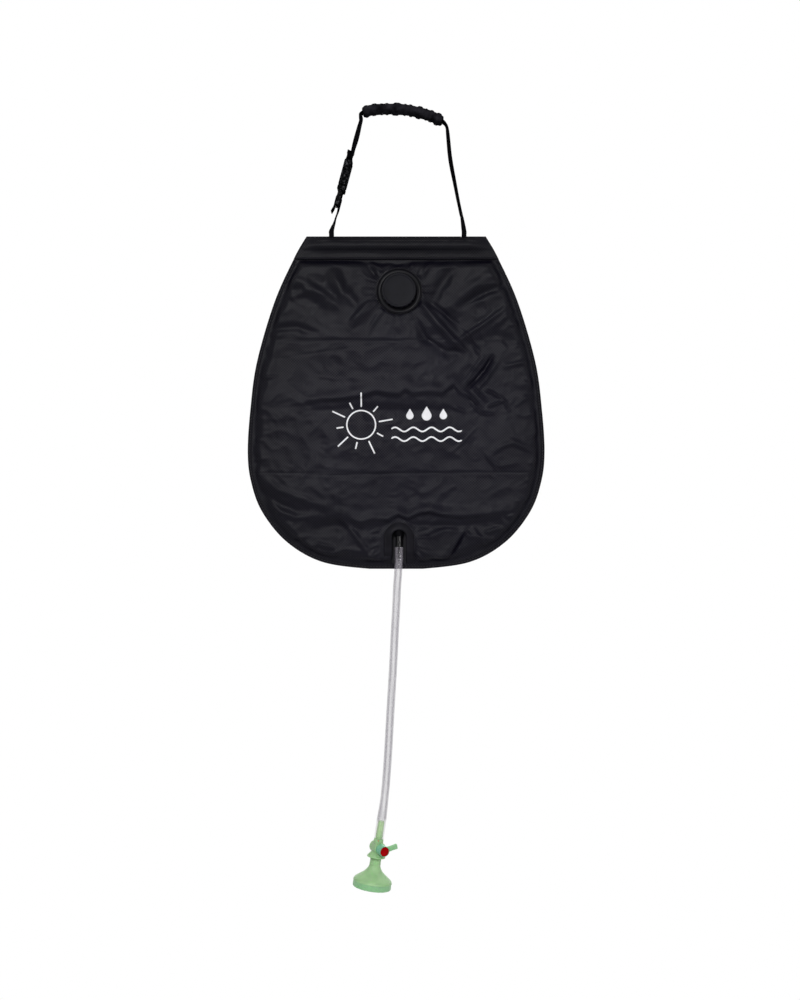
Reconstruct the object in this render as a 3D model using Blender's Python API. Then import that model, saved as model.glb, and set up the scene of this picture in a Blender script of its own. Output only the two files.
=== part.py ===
"""Camp shower bag, hanging empty from its handle.

Metres, +Z up, +X to the right of someone facing the bag's front, which looks along -Y.
The origin is on the underside of the hand grip, straight above the middle of the bag.
"""

import math

import bmesh
import bpy
import numpy as np
from mathutils import Matrix, Vector

for old in list(bpy.data.objects):
    bpy.data.objects.remove(old, do_unlink=True)

# Clearances and cutting
GAP = 0.0003  # between two pieces that touch
OVERRUN = 0.002  # how far a cutter passes the face that it cuts
FULL_TURN = 2 * math.pi

# Bag
BAG_WIDTH = 0.401
BAG_HEIGHT = 0.449
BAG_TOP_Z = -0.1655
BAG_CENTRE_X = -0.0025
SHEET = 0.0008
PUFF = 0.007  # from the seam's plane to a panel's outer face
PUFF_RUN = 0.016  # the rise from the seam to that face
SEAM_WIDTH = 0.0055
OUTLINE_STEPS = 3
RISE_STEPS = 4
# Depth below the top edge as a share of the height, half width as a share of half the bag's width
BAG_OUTLINE_SHARES = (
    (0.0, 0.603), (0.066, 0.687), (0.198, 0.820), (0.378, 0.938), (0.520, 0.982), (0.649, 1.0),
    (0.739, 0.977), (0.829, 0.902), (0.919, 0.737), (0.979, 0.500), (1.0, 0.180), (1.0, 0.0),
)

# Binding round the seam
BINDING = 0.001
BINDING_LEG = 0.005

# Top sleeve, its tube and its piping
SLEEVE_HEIGHT = 0.0315
SLEEVE_LAP = 0.007  # overlap of the sleeve's flaps and the panels
SLEEVE_TOP_HALF = 0.0003
SLEEVE_ARC_STEPS = 4
SLEEVE_ARC_HALF = math.radians(60)
SLEEVE_FULL_SHARE = 0.80  # out to this share of its half width the sleeve goes round the tube
PANEL_TOP_MARGIN = 0.001
TUBE_DIAMETER = 0.0125
TUBE_WALL = 0.0015
TUBE_OVERHANG = 0.0085  # from a slit's middle to the tube's end
TUBE_DEPTH = 0.0121  # from the sleeve's top edge to the tube's axis
PIPING_DIAMETER = 0.0028
PIPING_END = 0.003

# Webbing
WEB_WIDTH = 0.025
WEB_THICKNESS = 0.0015
BUNCH_WIDTH = 0.0045  # front to back, where it is gathered in the slits
BUNCH_SPREAD = 0.0065
STRAP_CENTRE_X = -0.0003
SLIT_SHARE = 0.4464  # distance between the slits' middles as a share of the bag's width
SLIT_CLEARANCE = 0.001
ELBOW_RADIUS = 0.005
ELBOW_STEPS = 5
ROUND_END_SHARES = (0.0, 0.25, 0.5, 0.75, 0.92)

# Hand grip
GRIP_LEFT_X = -0.0475
GRIP_RIGHT_X = 0.0600
GRIP_THICKNESS = 0.0126
GRIP_WIDTH = 0.030
GRIP_DROP = 0.017  # from the top of the arch to its lower end
GRIP_RIB = 0.001
GRIP_RIBS = 12
GRIP_SIDES = 12
GRIP_SLOT_CLEARANCE = 0.0006
GRIP_SECTION_POWER = 2.6
# Place along the grip and drop below its highest point, each as a share
GRIP_ARCH_SHARES = (
    (0.0, 0.29), (0.10, 0.10), (0.20, 0.03), (0.38, 0.0), (0.56, 0.09), (0.74, 0.34), (0.87, 0.61),
    (1.0, 0.99),
)

WRAP_STEPS = 6
# Strap runs: place between the two ends and distance to the side, as shares of the run's length
RIGHT_RUN_SHARES = ((0.18, -0.002), (0.42, -0.006), (0.70, -0.008), (0.93, 0.008))
LEFT_RUN_SHARES = ((0.10, -0.050), (0.35, -0.035), (0.68, -0.015))
LOWER_RUN_SHARES = ((0.30, 0.020), (0.62, 0.010))
GRIP_EXIT = 0.0045  # from the grip's end to the point where the webbing has turned down
BUNCH_SHARE = 0.30  # of a run, over which the webbing spreads from its gathered end

# Side-release buckle, in its own frame: z along the strap, x through its thickness
BUCKLE_X = -0.0824
BUCKLE_Z = -0.1243
BUCKLE_TILT = math.radians(15.2)
BUCKLE_LENGTH = 0.0616
BUCKLE_WIDTH = 0.033
BUCKLE_THICKNESS = 0.010
BUCKLE_WALL = 0.0018
LADDER_SHARE = 0.42208  # of the buckle's length
LADDER_COLLAR = 0.006
LADDER_THICKNESS = 0.0052
LADDER_BAR = 0.003
SIDE_RAIL = 0.0022
LOOP_BAR = 0.004
LOOP_SLOT = 0.0037
WRAP_CLEARANCE = 0.0003
TONGUE_WIDTH = 0.008
TONGUE_SHARE = 0.905  # of a prong's length
PRONG_THICKNESS = 0.003
PRONG_INSET = 0.0070  # from the buckle's side to the prong's middle
PRONG_PIVOT = 0.0009  # from the collar's face to the prong's hinge line
PRONG_END_PLAY = 0.0015
WINDOW_START_SHARE = 0.353  # of the socket's depth
WINDOW_SHARE = 0.470
CATCH_PLAY = 0.0011
BUTTON_PROUD = 0.0006
TAIL_LENGTH = 0.010
LOOP_LENGTH = 0.014

# Filler: heights are measured out from the front panel
FILLER_X = 0.0013
FILLER_Z = -0.2405
FILLER_DIAMETER = 0.062
FILLER_PLATE = 0.002
FILLER_BEAD = 0.0009
FILLER_BEAD_WIDTH = 0.002
NECK_DIAMETER = 0.038
NECK_WALL = 0.003
NECK_INSIDE = 0.003
NECK_HEIGHT = 0.008
CAP_DIAMETER = 0.046
CAP_TOP = 0.0025
CAP_DISH = 0.0004
CAP_RIM_WIDTH = 0.003
CAP_EDGE = 0.0008
THREAD_DEPTH = 0.0007
SEAL_THICKNESS = 0.0015
SEAL_WIDTH = 0.0037
CAP_FLUTES = 20
FLUTE_RADIUS = 0.0013
FLUTE_DEPTH = 0.0006
ROUND_STEPS = 36
SMALL_STEPS = 24

# Outlet recess
OUTLET_X = 0.0013
OUTLET_OUTER = 0.020
OUTLET_INNER = 0.0093
OUTLET_CENTRE_RISE = 0.0432  # the arch's centre above the bag's lowest point
OUTLET_LIP = 0.0016
OUTLET_WALL = 0.0016
OUTLET_FLOOR = 0.0008
OUTLET_FOOT = 0.001  # the legs stop this far above the seam
WALL_HEM = 0.0002
ARCH_STEPS = 8

# Spout: it leans forward, so that the hose clears the seam
SPOUT_LEAN = math.radians(8.5)
SPOUT_DIAMETER = 0.0092
SPOUT_BORE = 0.0048
SPOUT_ROOT_DIAMETER = 0.010
SPOUT_ROOT = 0.0035
SPOUT_VISIBLE = 0.0234
SPOUT_BARB_LENGTH = 0.0154
SEAM_CLEARANCE = 0.0005

# Hose
HOSE_DIAMETER = 0.0108
HOSE_BORE = 0.008
HOSE_RESOLUTION = 4
HOSE_END_SHARES = (0.0, 0.5, 1.0)  # points on each straight end of the hose
BARB_CLEARANCE = 0.0005
BARB_STEP = 0.0004
BARB_COUNT = 3
BARB_RISE_SHARE = 0.6  # of a barb's length, from its tip to its widest place
# The free run as it hangs, from the end of the spout's straight part to the straight part on the valve's tail
HOSE_ROUTE = (
    (0.0003, -0.00930, -0.6170), (-0.0012, -0.01180, -0.6390), (-0.0022, -0.01340, -0.6610),
    (-0.0034, -0.01420, -0.6830), (-0.0046, -0.01450, -0.7050), (-0.0056, -0.01450, -0.7270),
    (-0.0068, -0.01450, -0.7490), (-0.0081, -0.01450, -0.7710), (-0.0094, -0.01450, -0.7930),
    (-0.0107, -0.01450, -0.8150), (-0.0119, -0.01450, -0.8370), (-0.0131, -0.01450, -0.8590),
    (-0.0146, -0.01450, -0.8810), (-0.0163, -0.01450, -0.9030), (-0.0184, -0.01450, -0.9240),
)

# Valve and shower head, in their own frame: z against the flow, from the hose's lower end
HEAD_X = -0.0257
HEAD_Y = -0.0145
HEAD_Z = -0.9754
HEAD_TILT = math.radians(8.4)
TAIL_BARBS = 0.024
FLOW_BORE = 0.004
COLLAR_DIAMETER = 0.013
COLLAR_HEIGHT = 0.006
BARREL_DROP = 0.012
BARREL_DIAMETER = 0.0164
BARREL_FRONT = 0.009
BARREL_BACK = 0.0095
PLUG_TURN = math.radians(27)  # the plug's axis, turned from the front towards +X
PLUG_DIAMETER = 0.010
PLUG_CLEARANCE = 0.0003
PLUG_END = 0.0025  # wall behind the plug
BOSS_DIAMETER = 0.014
BOSS_LENGTH = 0.0127
LEVER_REACH = 0.0205
LEVER_WIDTH = 0.007
LEVER_THICKNESS = 0.0045
LEVER_SET_BACK = 0.002  # from the boss's front face
LEVER_REST = math.radians(20)
DISC_DIAMETER = 0.0118
DISC_THICKNESS = 0.0012
DISC_SINK = 0.001
RING_GROOVE = 0.0008
RING_SECTION = 0.0007
RING_PLACE = 0.0055
RING_SIDES = 6
FLARE_START = 0.0175
FLARE_END = 0.024
FLARE_DIAMETER = 0.0248
FLARE_EDGE = 0.0015
WAIST_DIAMETER = 0.014
STUB_DIAMETER = 0.0104
STUB_LENGTH = 0.0075
NECK_CLEARANCE = 0.0003
HEAD_NECK_DIAMETER = 0.0148
HEAD_NECK_LENGTH = 0.0102
WASHER_THICKNESS = 0.0014
WASHER_BORE = 0.0068
HEAD_DIAMETER = 0.052
HEAD_HEIGHT = 0.0402  # from the top of the neck to the rim's lower edge
HEAD_WALL = 0.0016
RIM_HEIGHT = 0.009
RIM_EDGE = 0.0008
ROSE_THICKNESS = 0.0022
ROSE_SINK = 0.001
ROSE_LEDGE = 0.0008
ROSE_HOLE = 0.0016
ROSE_RING_STEP = 0.0062
ROSE_RINGS = 3
ROSE_HOLE_SIDES = 6
# The bell between neck and rim: spread and descent, as shares
BELL_SHARES = ((0.0, 0.0), (0.08, 0.20), (0.30, 0.45), (0.66, 0.70), (0.92, 0.88), (1.0, 1.0))


def material(name, colour, roughness, metallic=0.0, transmission=0.0):
    made = bpy.data.materials.new(name)
    made.use_nodes = True
    shader = made.node_tree.nodes["Principled BSDF"]
    shader.inputs["Base Color"].default_value = (*colour, 1.0)
    shader.inputs["Roughness"].default_value = roughness
    shader.inputs["Metallic"].default_value = metallic
    shader.inputs["Transmission Weight"].default_value = transmission
    made.diffuse_color = (*colour, 1.0)
    return made


BAG_CLOTH = material("coated_black_cloth", (0.018, 0.017, 0.022), 0.55)
WEBBING = material("black_webbing", (0.012, 0.012, 0.014), 0.8)
BLACK_RUBBER = material("black_rubber", (0.016, 0.016, 0.018), 0.6)
BLACK_PLASTIC = material("black_plastic", (0.013, 0.013, 0.015), 0.4)
CLEAR_VINYL = material("clear_vinyl", (0.60, 0.60, 0.64), 0.2, transmission=0.5)
GREEN_PLASTIC = material("mint_plastic", (0.33, 0.56, 0.29), 0.35)
GREEN_DARK = material("mint_plastic_lever", (0.22, 0.58, 0.36), 0.35)
RED_PLASTIC = material("red_plastic", (0.38, 0.004, 0.008), 0.4)
SEAL_RUBBER = material("seal_rubber", (0.03, 0.03, 0.03), 0.7)

SHARP = math.radians(35)


def finish(obj, finish_material, parent=None):
    """Gives an object its material, smooth shading and parent."""
    obj.data.materials.clear()
    obj.data.materials.append(finish_material)
    obj.data.shade_smooth()
    obj.data.set_sharp_from_angle(angle=SHARP)
    if parent is not None:
        obj.parent = parent
    return obj


def object_from(name, mesh_tool, place=None):
    bmesh.ops.recalc_face_normals(mesh_tool, faces=mesh_tool.faces)
    mesh = bpy.data.meshes.new(name)
    mesh_tool.to_mesh(mesh)
    mesh_tool.free()
    obj = bpy.data.objects.new(name, mesh)
    bpy.context.scene.collection.objects.link(obj)
    if place is not None:
        obj.matrix_basis = place
    return obj


def empty(name, place):
    made = bpy.data.objects.new(name, None)
    bpy.context.scene.collection.objects.link(made)
    made.matrix_basis = place
    return made


def quad_loft(tool, rows, closed=False):
    """Faces between rows of vertices that lie point against point."""
    for lower, upper in zip(rows, rows[1:] + rows[:1] if closed else rows[1:]):
        count = len(lower)
        for i in range(count):
            j = (i + 1) % count
            tool.faces.new((lower[i], lower[j], upper[j], upper[i]))


def straight_loft(name, rings, place=None):
    """A closed solid through rings of points, with a flat face at each end."""
    tool = bmesh.new()
    rows = [[tool.verts.new(point) for point in ring] for ring in rings]
    quad_loft(tool, rows)
    tool.faces.new(rows[0])
    tool.faces.new(rows[-1])
    return object_from(name, tool, place)


def hollow_loft(name, outer_rings, inner_rings, place=None):
    """A tube through outer rings, open at both ends along inner rings."""
    tool = bmesh.new()
    outer = [[tool.verts.new(point) for point in ring] for ring in outer_rings]
    inner = [[tool.verts.new(point) for point in ring] for ring in inner_rings]
    quad_loft(tool, outer + inner[::-1], closed=True)
    return object_from(name, tool, place)


def turned(name, profile, steps, place=None):
    """A solid of revolution about local Z from a closed outline of (radius, height)."""
    tool = bmesh.new()
    points = [tool.verts.new((radius, 0, height)) for radius, height in profile]
    edges = [tool.edges.new(pair) for pair in zip(points, points[1:] + points[:1])]
    if profile[0][0] == 0:
        bmesh.ops.delete(tool, geom=[edges.pop()], context="EDGES")
    bmesh.ops.spin(
        tool, geom=points + edges, cent=(0, 0, 0), axis=(0, 0, 1), angle=FULL_TURN, steps=steps,
        use_merge=True,
    )
    bmesh.ops.remove_doubles(tool, verts=tool.verts, dist=GAP / ROUND_STEPS)
    return object_from(name, tool, place)


def block(name, low, high, place=None):
    """A box between two corners."""
    tool = bmesh.new()
    middle = (Vector(low) + Vector(high)) / 2
    size = Vector(high) - Vector(low)
    bmesh.ops.create_cube(tool, size=1, matrix=Matrix.Translation(middle) @ Matrix.Diagonal((*size, 1)))
    return object_from(name, tool, place)


def prism(name, outline, low, high, place=None):
    """An outline of (y, z) points, extruded along x from low to high."""
    rings = [[(x, y, z) for y, z in outline] for x in (low, high)]
    return straight_loft(name, rings, place)


def cylinder(name, radius, low, high, steps, place=None):
    return turned(name, ((0, low), (radius, low), (radius, high), (0, high)), steps, place)


def as_cutter(obj):
    obj.hide_render = True
    obj.display_type = "WIRE"
    return obj


def combine(obj, other, operation):
    made = obj.modifiers.new(other.name, "BOOLEAN")
    made.operation = operation
    made.solver = "EXACT"
    made.object = as_cutter(other)


def cut(obj, *cutters):
    for cutter in cutters:
        combine(obj, cutter, "DIFFERENCE")


def soften(obj, width, segments=1):
    made = obj.modifiers.new("softened_edges", "BEVEL")
    made.width = width
    made.segments = segments
    made.limit_method = "ANGLE"
    made.angle_limit = SHARP


def joined_cutter(name, parts):
    """One mesh object from several that don't touch."""
    tool = bmesh.new()
    for part in parts:
        part.data.transform(part.matrix_basis)
        tool.from_mesh(part.data)
        bpy.data.objects.remove(part)
    return object_from(name, tool)


def smooth_curve(points, steps):
    """Points read from a smooth curve through the given ones, the given ones among them."""
    table = [np.array(point, float) for point in points]
    padded = [2 * table[0] - table[1], *table, 2 * table[-1] - table[-2]]
    found = []
    for a, b, c, d in zip(padded, padded[1:], padded[2:], padded[3:]):
        for i in range(steps):
            t = i / steps
            bend = (2 * a - 5 * b + 4 * c - d) * t**2 + (3 * b - a - 3 * c + d) * t**3
            found.append((2 * b + (c - a) * t + bend) / 2)
    return [*found, table[-1]]


def arc(centre_x, centre_z, radius, start, end, steps):
    angles = [start + (end - start) * i / steps for i in range(steps + 1)]
    return [(centre_x + radius * math.cos(a), centre_z + radius * math.sin(a)) for a in angles]


# Bag outline
BAG_BOTTOM_Z = BAG_TOP_Z - BAG_HEIGHT
SLEEVE_BOTTOM_Z = BAG_TOP_Z - SLEEVE_HEIGHT
RIM_CURVE = [
    (share * BAG_WIDTH / 2, BAG_TOP_Z - min(depth, 1) * BAG_HEIGHT)
    for depth, share in (tuple(p) for p in smooth_curve(BAG_OUTLINE_SHARES, OUTLINE_STEPS))
]


def half_width(z):
    """Half the bag's whole width at a height."""
    heights = [point[1] for point in RIM_CURVE]
    return float(np.interp(-z, [-h for h in heights], [point[0] for point in RIM_CURVE]))


def outline_below(top_z, straight):
    """The bag's outline from a level's right end, straight at first, round the bottom, to its left end."""
    right = [(half_width(top_z), top_z)] + [p for p in RIM_CURVE if p[1] < top_z - straight and p[0] > 0]
    return [(BAG_CENTRE_X + x, z) for x, z in right] + [(BAG_CENTRE_X - x, z) for x, z in right[::-1]]


def inset(points, side, top):
    """The outline moved inwards: by side along its curve and by top along its straight upper edge."""
    count = len(points)
    distances = [side] * (count - 1) + [top]
    found = []
    for i, here in enumerate(points):
        before = Vector(here) - Vector(points[i - 1])
        after = Vector(points[(i + 1) % count]) - Vector(here)
        normals = np.array([(edge.y, -edge.x) for edge in (before.normalized(), after.normalized())])
        moved = np.linalg.lstsq(normals, np.array([distances[i - 1], distances[i]]), rcond=None)[0]
        found.append((here[0] + moved[0], here[1] + moved[1]))
    return found


def rise(distance):
    """How far the outer face stands from the seam's plane, at a distance inside the panel's edge."""
    steps = [(1 - math.cos(math.pi * i / RISE_STEPS)) / 2 for i in range(RISE_STEPS + 1)]
    places = [SEAM_WIDTH + PUFF_RUN * i / RISE_STEPS for i in range(RISE_STEPS + 1)]
    return SEAM_FACE + (PUFF - SEAM_FACE) * float(np.interp(distance, places, steps))


SEAM_FACE = GAP / 2 + SHEET
PANEL_TOP_Z = SLEEVE_BOTTOM_Z + SLEEVE_LAP
PANEL_EDGE = inset(outline_below(PANEL_TOP_Z, SLEEVE_LAP + SEAM_WIDTH + PUFF_RUN), BINDING + GAP, 0)
PANEL_BOTTOM_Z = BAG_BOTTOM_Z + BINDING + GAP


def panel(name, facing):
    """One side of the bag: a flat face that falls to the seam. facing is -1 at the front, 1 at the back."""
    insets = [0] + [SEAM_WIDTH + PUFF_RUN * i / RISE_STEPS for i in range(RISE_STEPS + 1)]
    outer, inner = [], []
    for distance in insets:
        top = 0 if distance == 0 else distance - SEAM_WIDTH + SLEEVE_LAP + PANEL_TOP_MARGIN
        ring = inset(PANEL_EDGE, distance, top)
        face = facing * rise(distance)
        outer.append([(x, face, z) for x, z in ring])
        inner.append([(x, face - facing * SHEET, z) for x, z in ring])
    made = straight_loft(name, outer[::-1] + inner)
    return finish(made, BAG_CLOTH)


def edge_binding():
    """Tape folded round the seam, from the sleeve's left end to its right end."""
    path = outline_below(SLEEVE_BOTTOM_Z - GAP, BINDING_LEG)
    inner_face = SEAM_FACE + GAP
    outer_face = inner_face + BINDING
    section = (
        (BINDING_LEG, -outer_face), (0, -outer_face), (0, outer_face), (BINDING_LEG, outer_face),
        (BINDING_LEG, inner_face), (BINDING, inner_face), (BINDING, -inner_face), (BINDING_LEG, -inner_face),
    )
    rails = [inset(path, distance, 0) for distance, _ in section]
    rings = [[(rail[i][0], y, rail[i][1]) for rail, (_, y) in zip(rails, section)] for i in range(len(path))]
    return finish(straight_loft("edge_binding", rings), BAG_CLOTH)


# Sleeve and tube
TUBE_Z = BAG_TOP_Z - TUBE_DEPTH
SLIT_LEFT_X = STRAP_CENTRE_X - SLIT_SHARE * BAG_WIDTH / 2
SLIT_RIGHT_X = STRAP_CENTRE_X + SLIT_SHARE * BAG_WIDTH / 2
TUBE_LENGTH = SLIT_RIGHT_X - SLIT_LEFT_X + 2 * TUBE_OVERHANG
FLAP_FACE = SEAM_FACE + GAP
SLEEVE_BORE = TUBE_DIAMETER / 2 + 2 * GAP


def sleeve_half(fill):
    """Half of the sleeve's section, from its bottom edge to the fold: y and z outside, y and z inside."""
    half = [
        (FLAP_FACE + SHEET, SLEEVE_BOTTOM_Z, FLAP_FACE, SLEEVE_BOTTOM_Z),
        (FLAP_FACE + SHEET, PANEL_TOP_Z, FLAP_FACE, PANEL_TOP_Z + GAP),
    ]
    for i in range(SLEEVE_ARC_STEPS + 1):
        angle = SLEEVE_ARC_HALF * (2 * i / SLEEVE_ARC_STEPS - 1)
        inside = FLAP_FACE + (SLEEVE_BORE * math.cos(angle) - FLAP_FACE) * fill
        z_inside = TUBE_Z + SLEEVE_BORE * math.sin(angle)
        z_outside = TUBE_Z + (SLEEVE_BORE + SHEET) * math.sin(angle)
        half.append((inside + SHEET, z_outside, inside, z_inside))
    half.append((SLEEVE_TOP_HALF + SHEET, BAG_TOP_Z, SLEEVE_TOP_HALF, BAG_TOP_Z - SHEET))
    return half


def sleeve_ring(share):
    fill = min(1, (1 - abs(share)) / (1 - SLEEVE_FULL_SHARE))
    half = sleeve_half(fill)
    outside = [(-y, z) for y, z, _, _ in half] + [(y, z) for y, z, _, _ in half[::-1]]
    inside = [(y, z) for _, _, y, z in half] + [(-y, z) for _, _, y, z in half[::-1]]
    return [(BAG_CENTRE_X + share * half_width(z), y, z) for y, z in outside + inside]


def top_sleeve():
    steps = (1.0, (1 + SLEEVE_FULL_SHARE) / 2, SLEEVE_FULL_SHARE)
    shares = [-share for share in steps] + list(steps[::-1])
    made = straight_loft("top_sleeve", [sleeve_ring(share) for share in shares])
    cut(made, *slit_cutters("sleeve", TUBE_Z))
    return finish(made, BAG_CLOTH)


def slit_cutters(owner, low_z):
    """Cutters for the two places where the gathered webbing comes up."""
    half_x = BUNCH_SPREAD / 2 + SLIT_CLEARANCE
    half_y = BUNCH_WIDTH / 2 + 2 * GAP
    return [
        block(f"{owner}_{side}_slit", (x - half_x, -half_y, low_z), (x + half_x, half_y, BAG_TOP_Z + OVERRUN))
        for side, x in (("left", SLIT_LEFT_X), ("right", SLIT_RIGHT_X))
    ]


def hang_tube():
    along_x = Matrix.Translation((STRAP_CENTRE_X, 0, TUBE_Z)) @ Matrix.Rotation(math.pi / 2, 4, "Y")
    outer, half = TUBE_DIAMETER / 2, TUBE_LENGTH / 2
    inner = outer - TUBE_WALL
    made = turned(
        "hang_tube", ((inner, -half), (outer, -half), (outer, half), (inner, half)), SMALL_STEPS, along_x
    )
    cut(made, *slit_cutters("tube", TUBE_Z))
    return finish(made, BLACK_PLASTIC)


def sleeve_piping(name, facing):
    """A cord laid along the sleeve's lower edge."""
    radius = PIPING_DIAMETER / 2
    z = SLEEVE_BOTTOM_Z + radius
    y = facing * (FLAP_FACE + SHEET + GAP + radius)
    reach = half_width(z) - PIPING_END
    along_x = Matrix.Translation((BAG_CENTRE_X, y, z)) @ Matrix.Rotation(math.pi / 2, 4, "Y")
    return finish(cylinder(name, radius, -reach, reach, SMALL_STEPS // 3, along_x), BAG_CLOTH)


def web(name, stations):
    """Webbing along stations of (x, z, half width along y, half thickness)."""
    rings = []
    for i, (x, z, half_y, half_n) in enumerate(stations):
        before, after = stations[max(i - 1, 0)], stations[min(i + 1, len(stations) - 1)]
        run = Vector((after[0] - before[0], after[1] - before[1])).normalized()
        side = Vector((run.y, -run.x)) * half_n
        corners = ((side, half_y), (side, -half_y), (-side, -half_y), (-side, half_y))
        rings.append([(x + out.x, y, z + out.y) for out, y in corners])
    return finish(straight_loft(name, rings), WEBBING)


# The webbing bends about this line when the bag swings under its handle
SWING_Z = BAG_TOP_Z + 2 * GAP + BUNCH_WIDTH / 2
WEB_FLAT = (WEB_WIDTH / 2, WEB_THICKNESS / 2)
WEB_BUNCHED = (BUNCH_WIDTH / 2, BUNCH_SPREAD / 2)


def rounded_start(x):
    """Stations of the gathered webbing's round end above a slit, then of its first upright stretch."""
    radius = BUNCH_WIDTH / 2
    ends = []
    for share in ROUND_END_SHARES[::-1]:
        angle = share * math.pi / 2
        ends.append((x, SWING_Z - radius * math.sin(angle), radius * math.cos(angle), BUNCH_SPREAD / 2))
    ends.append((x, SWING_Z + radius, radius, BUNCH_SPREAD / 2))
    return [*ends, (x, SWING_Z + BUNCH_WIDTH, radius, BUNCH_SPREAD / 2)]


def strap_inner():
    """The webbing's run in the tube, turned up at both ends."""
    top = BAG_TOP_Z + GAP
    quarter = math.pi / 2
    turn_z = TUBE_Z + ELBOW_RADIUS
    left = arc(SLIT_LEFT_X + ELBOW_RADIUS, turn_z, ELBOW_RADIUS, 2 * quarter, 3 * quarter, ELBOW_STEPS)
    right = arc(SLIT_RIGHT_X - ELBOW_RADIUS, turn_z, ELBOW_RADIUS, 3 * quarter, 4 * quarter, ELBOW_STEPS)
    path = [(SLIT_LEFT_X, top), *left, *right, (SLIT_RIGHT_X, top)]
    return web("strap_inner", [(x, z, *WEB_BUNCHED) for x, z in path])


def between(start, end, shares):
    """Points between two ends, from shares along the run and to its right-hand side."""
    run = Vector(end) - Vector(start)
    side = Vector((run.y, -run.x))
    return [tuple(Vector(start) + run * along + side * aside) for along, aside in shares]


def grip_path():
    """Evenly spaced points along the middle of the grip, left to right."""
    top = GRIP_THICKNESS / 2 + GAP
    reach = GRIP_RIGHT_X - GRIP_LEFT_X
    arch = [(GRIP_LEFT_X + reach * along, top - GRIP_DROP * drop) for along, drop in GRIP_ARCH_SHARES]
    count = 4 * GRIP_RIBS
    dense = np.array(smooth_curve(arch, count))
    lengths = np.concatenate([[0], np.cumsum(np.linalg.norm(np.diff(dense, axis=0), axis=1))])
    places = np.linspace(0, lengths[-1], count + 1)
    return [tuple(np.interp(place, lengths, dense[:, axis]) for axis in (0, 1)) for place in places]


def in_buckle(x, z):
    """A point of the buckle's own frame, in the bag's plane."""
    cos, sin = math.cos(BUCKLE_TILT), math.sin(BUCKLE_TILT)
    return BUCKLE_X + x * cos + z * sin, BUCKLE_Z - x * sin + z * cos


LADDER_LENGTH = LADDER_SHARE * BUCKLE_LENGTH
LADDER_SLOT = (LADDER_LENGTH - LADDER_COLLAR - 3 * LADDER_BAR) / 2
MOUTH_Z = LADDER_LENGTH + GAP
SOCKET_DEPTH = BUCKLE_LENGTH - LOOP_BAR - LOOP_SLOT - BUCKLE_WALL - MOUTH_Z
WINDOW_Z = MOUTH_Z + WINDOW_START_SHARE * SOCKET_DEPTH
WINDOW_LENGTH = WINDOW_SHARE * SOCKET_DEPTH
PRONG_LENGTH = SOCKET_DEPTH - PRONG_END_PLAY
TONGUE_LENGTH = TONGUE_SHARE * PRONG_LENGTH
LOOP_BAR_Z = BUCKLE_LENGTH - LOOP_BAR / 2
LOOP_RADIUS = LOOP_BAR / math.sqrt(2) + WRAP_CLEARANCE + WEB_THICKNESS / 2
LADDER_BAR_Z = LADDER_BAR * 1.5 + LADDER_SLOT
LADDER_RADIUS = math.hypot(LADDER_BAR, LADDER_BAR) / 2 + WRAP_CLEARANCE + WEB_THICKNESS / 2
LEG_GAP = WEB_THICKNESS + GAP


def strap_main():
    """One length of webbing: right slit, hand grip, and round the upper buckle bar."""
    start = rounded_start(SLIT_RIGHT_X)
    line = grip_path()[::-2]
    down = (line[0][0] + GRIP_EXIT, line[0][1] - GRIP_EXIT)
    run = between(start[-1][:2], down, RIGHT_RUN_SHARES)
    spread = [start[-1], *((x, z, *bunching(share)) for (x, z), (share, _) in zip(run, RIGHT_RUN_SHARES))]
    left_end = line[-1]
    turn = (left_end[0] - GRIP_EXIT, left_end[1] - GRIP_EXIT)
    loop_top = in_buckle(LEG_GAP / 2, BUCKLE_LENGTH + LOOP_LENGTH)
    upper = [left_end, turn, *between(turn, loop_top, LEFT_RUN_SHARES), loop_top]
    wrap = [in_buckle(x, z) for x, z in arc(0, LOOP_BAR_Z, LOOP_RADIUS, 0, -math.pi, WRAP_STEPS)]
    back = [
        in_buckle(-LOOP_RADIUS, BUCKLE_LENGTH + LEG_GAP),
        in_buckle(-LEG_GAP, BUCKLE_LENGTH + LOOP_LENGTH / 2),
        in_buckle(-LEG_GAP, BUCKLE_LENGTH + LOOP_LENGTH),
    ]
    front = [
        in_buckle(LEG_GAP, BUCKLE_LENGTH + LOOP_LENGTH / 2),
        in_buckle(LOOP_RADIUS, BUCKLE_LENGTH + LEG_GAP),
    ]
    rising = smooth_curve([*spread, (*down, *WEB_FLAT), (*line[0], *WEB_FLAT)], OUTLINE_STEPS)
    in_grip = [(*point, *WEB_FLAT) for point in line[1:-1]]
    falling = smooth_curve([(*point, *WEB_FLAT) for point in [*upper, *front, *wrap, *back]], OUTLINE_STEPS)
    stations = [*start[:-1], *map(tuple, rising), *in_grip, *map(tuple, falling)]
    return web("strap_main", stations)


def bunching(share):
    """Half width and half thickness of the webbing at a share of a run that starts gathered."""
    spread = min(1, share / BUNCH_SHARE)
    return tuple(b + (f - b) * spread for b, f in zip(WEB_BUNCHED, WEB_FLAT))


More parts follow.
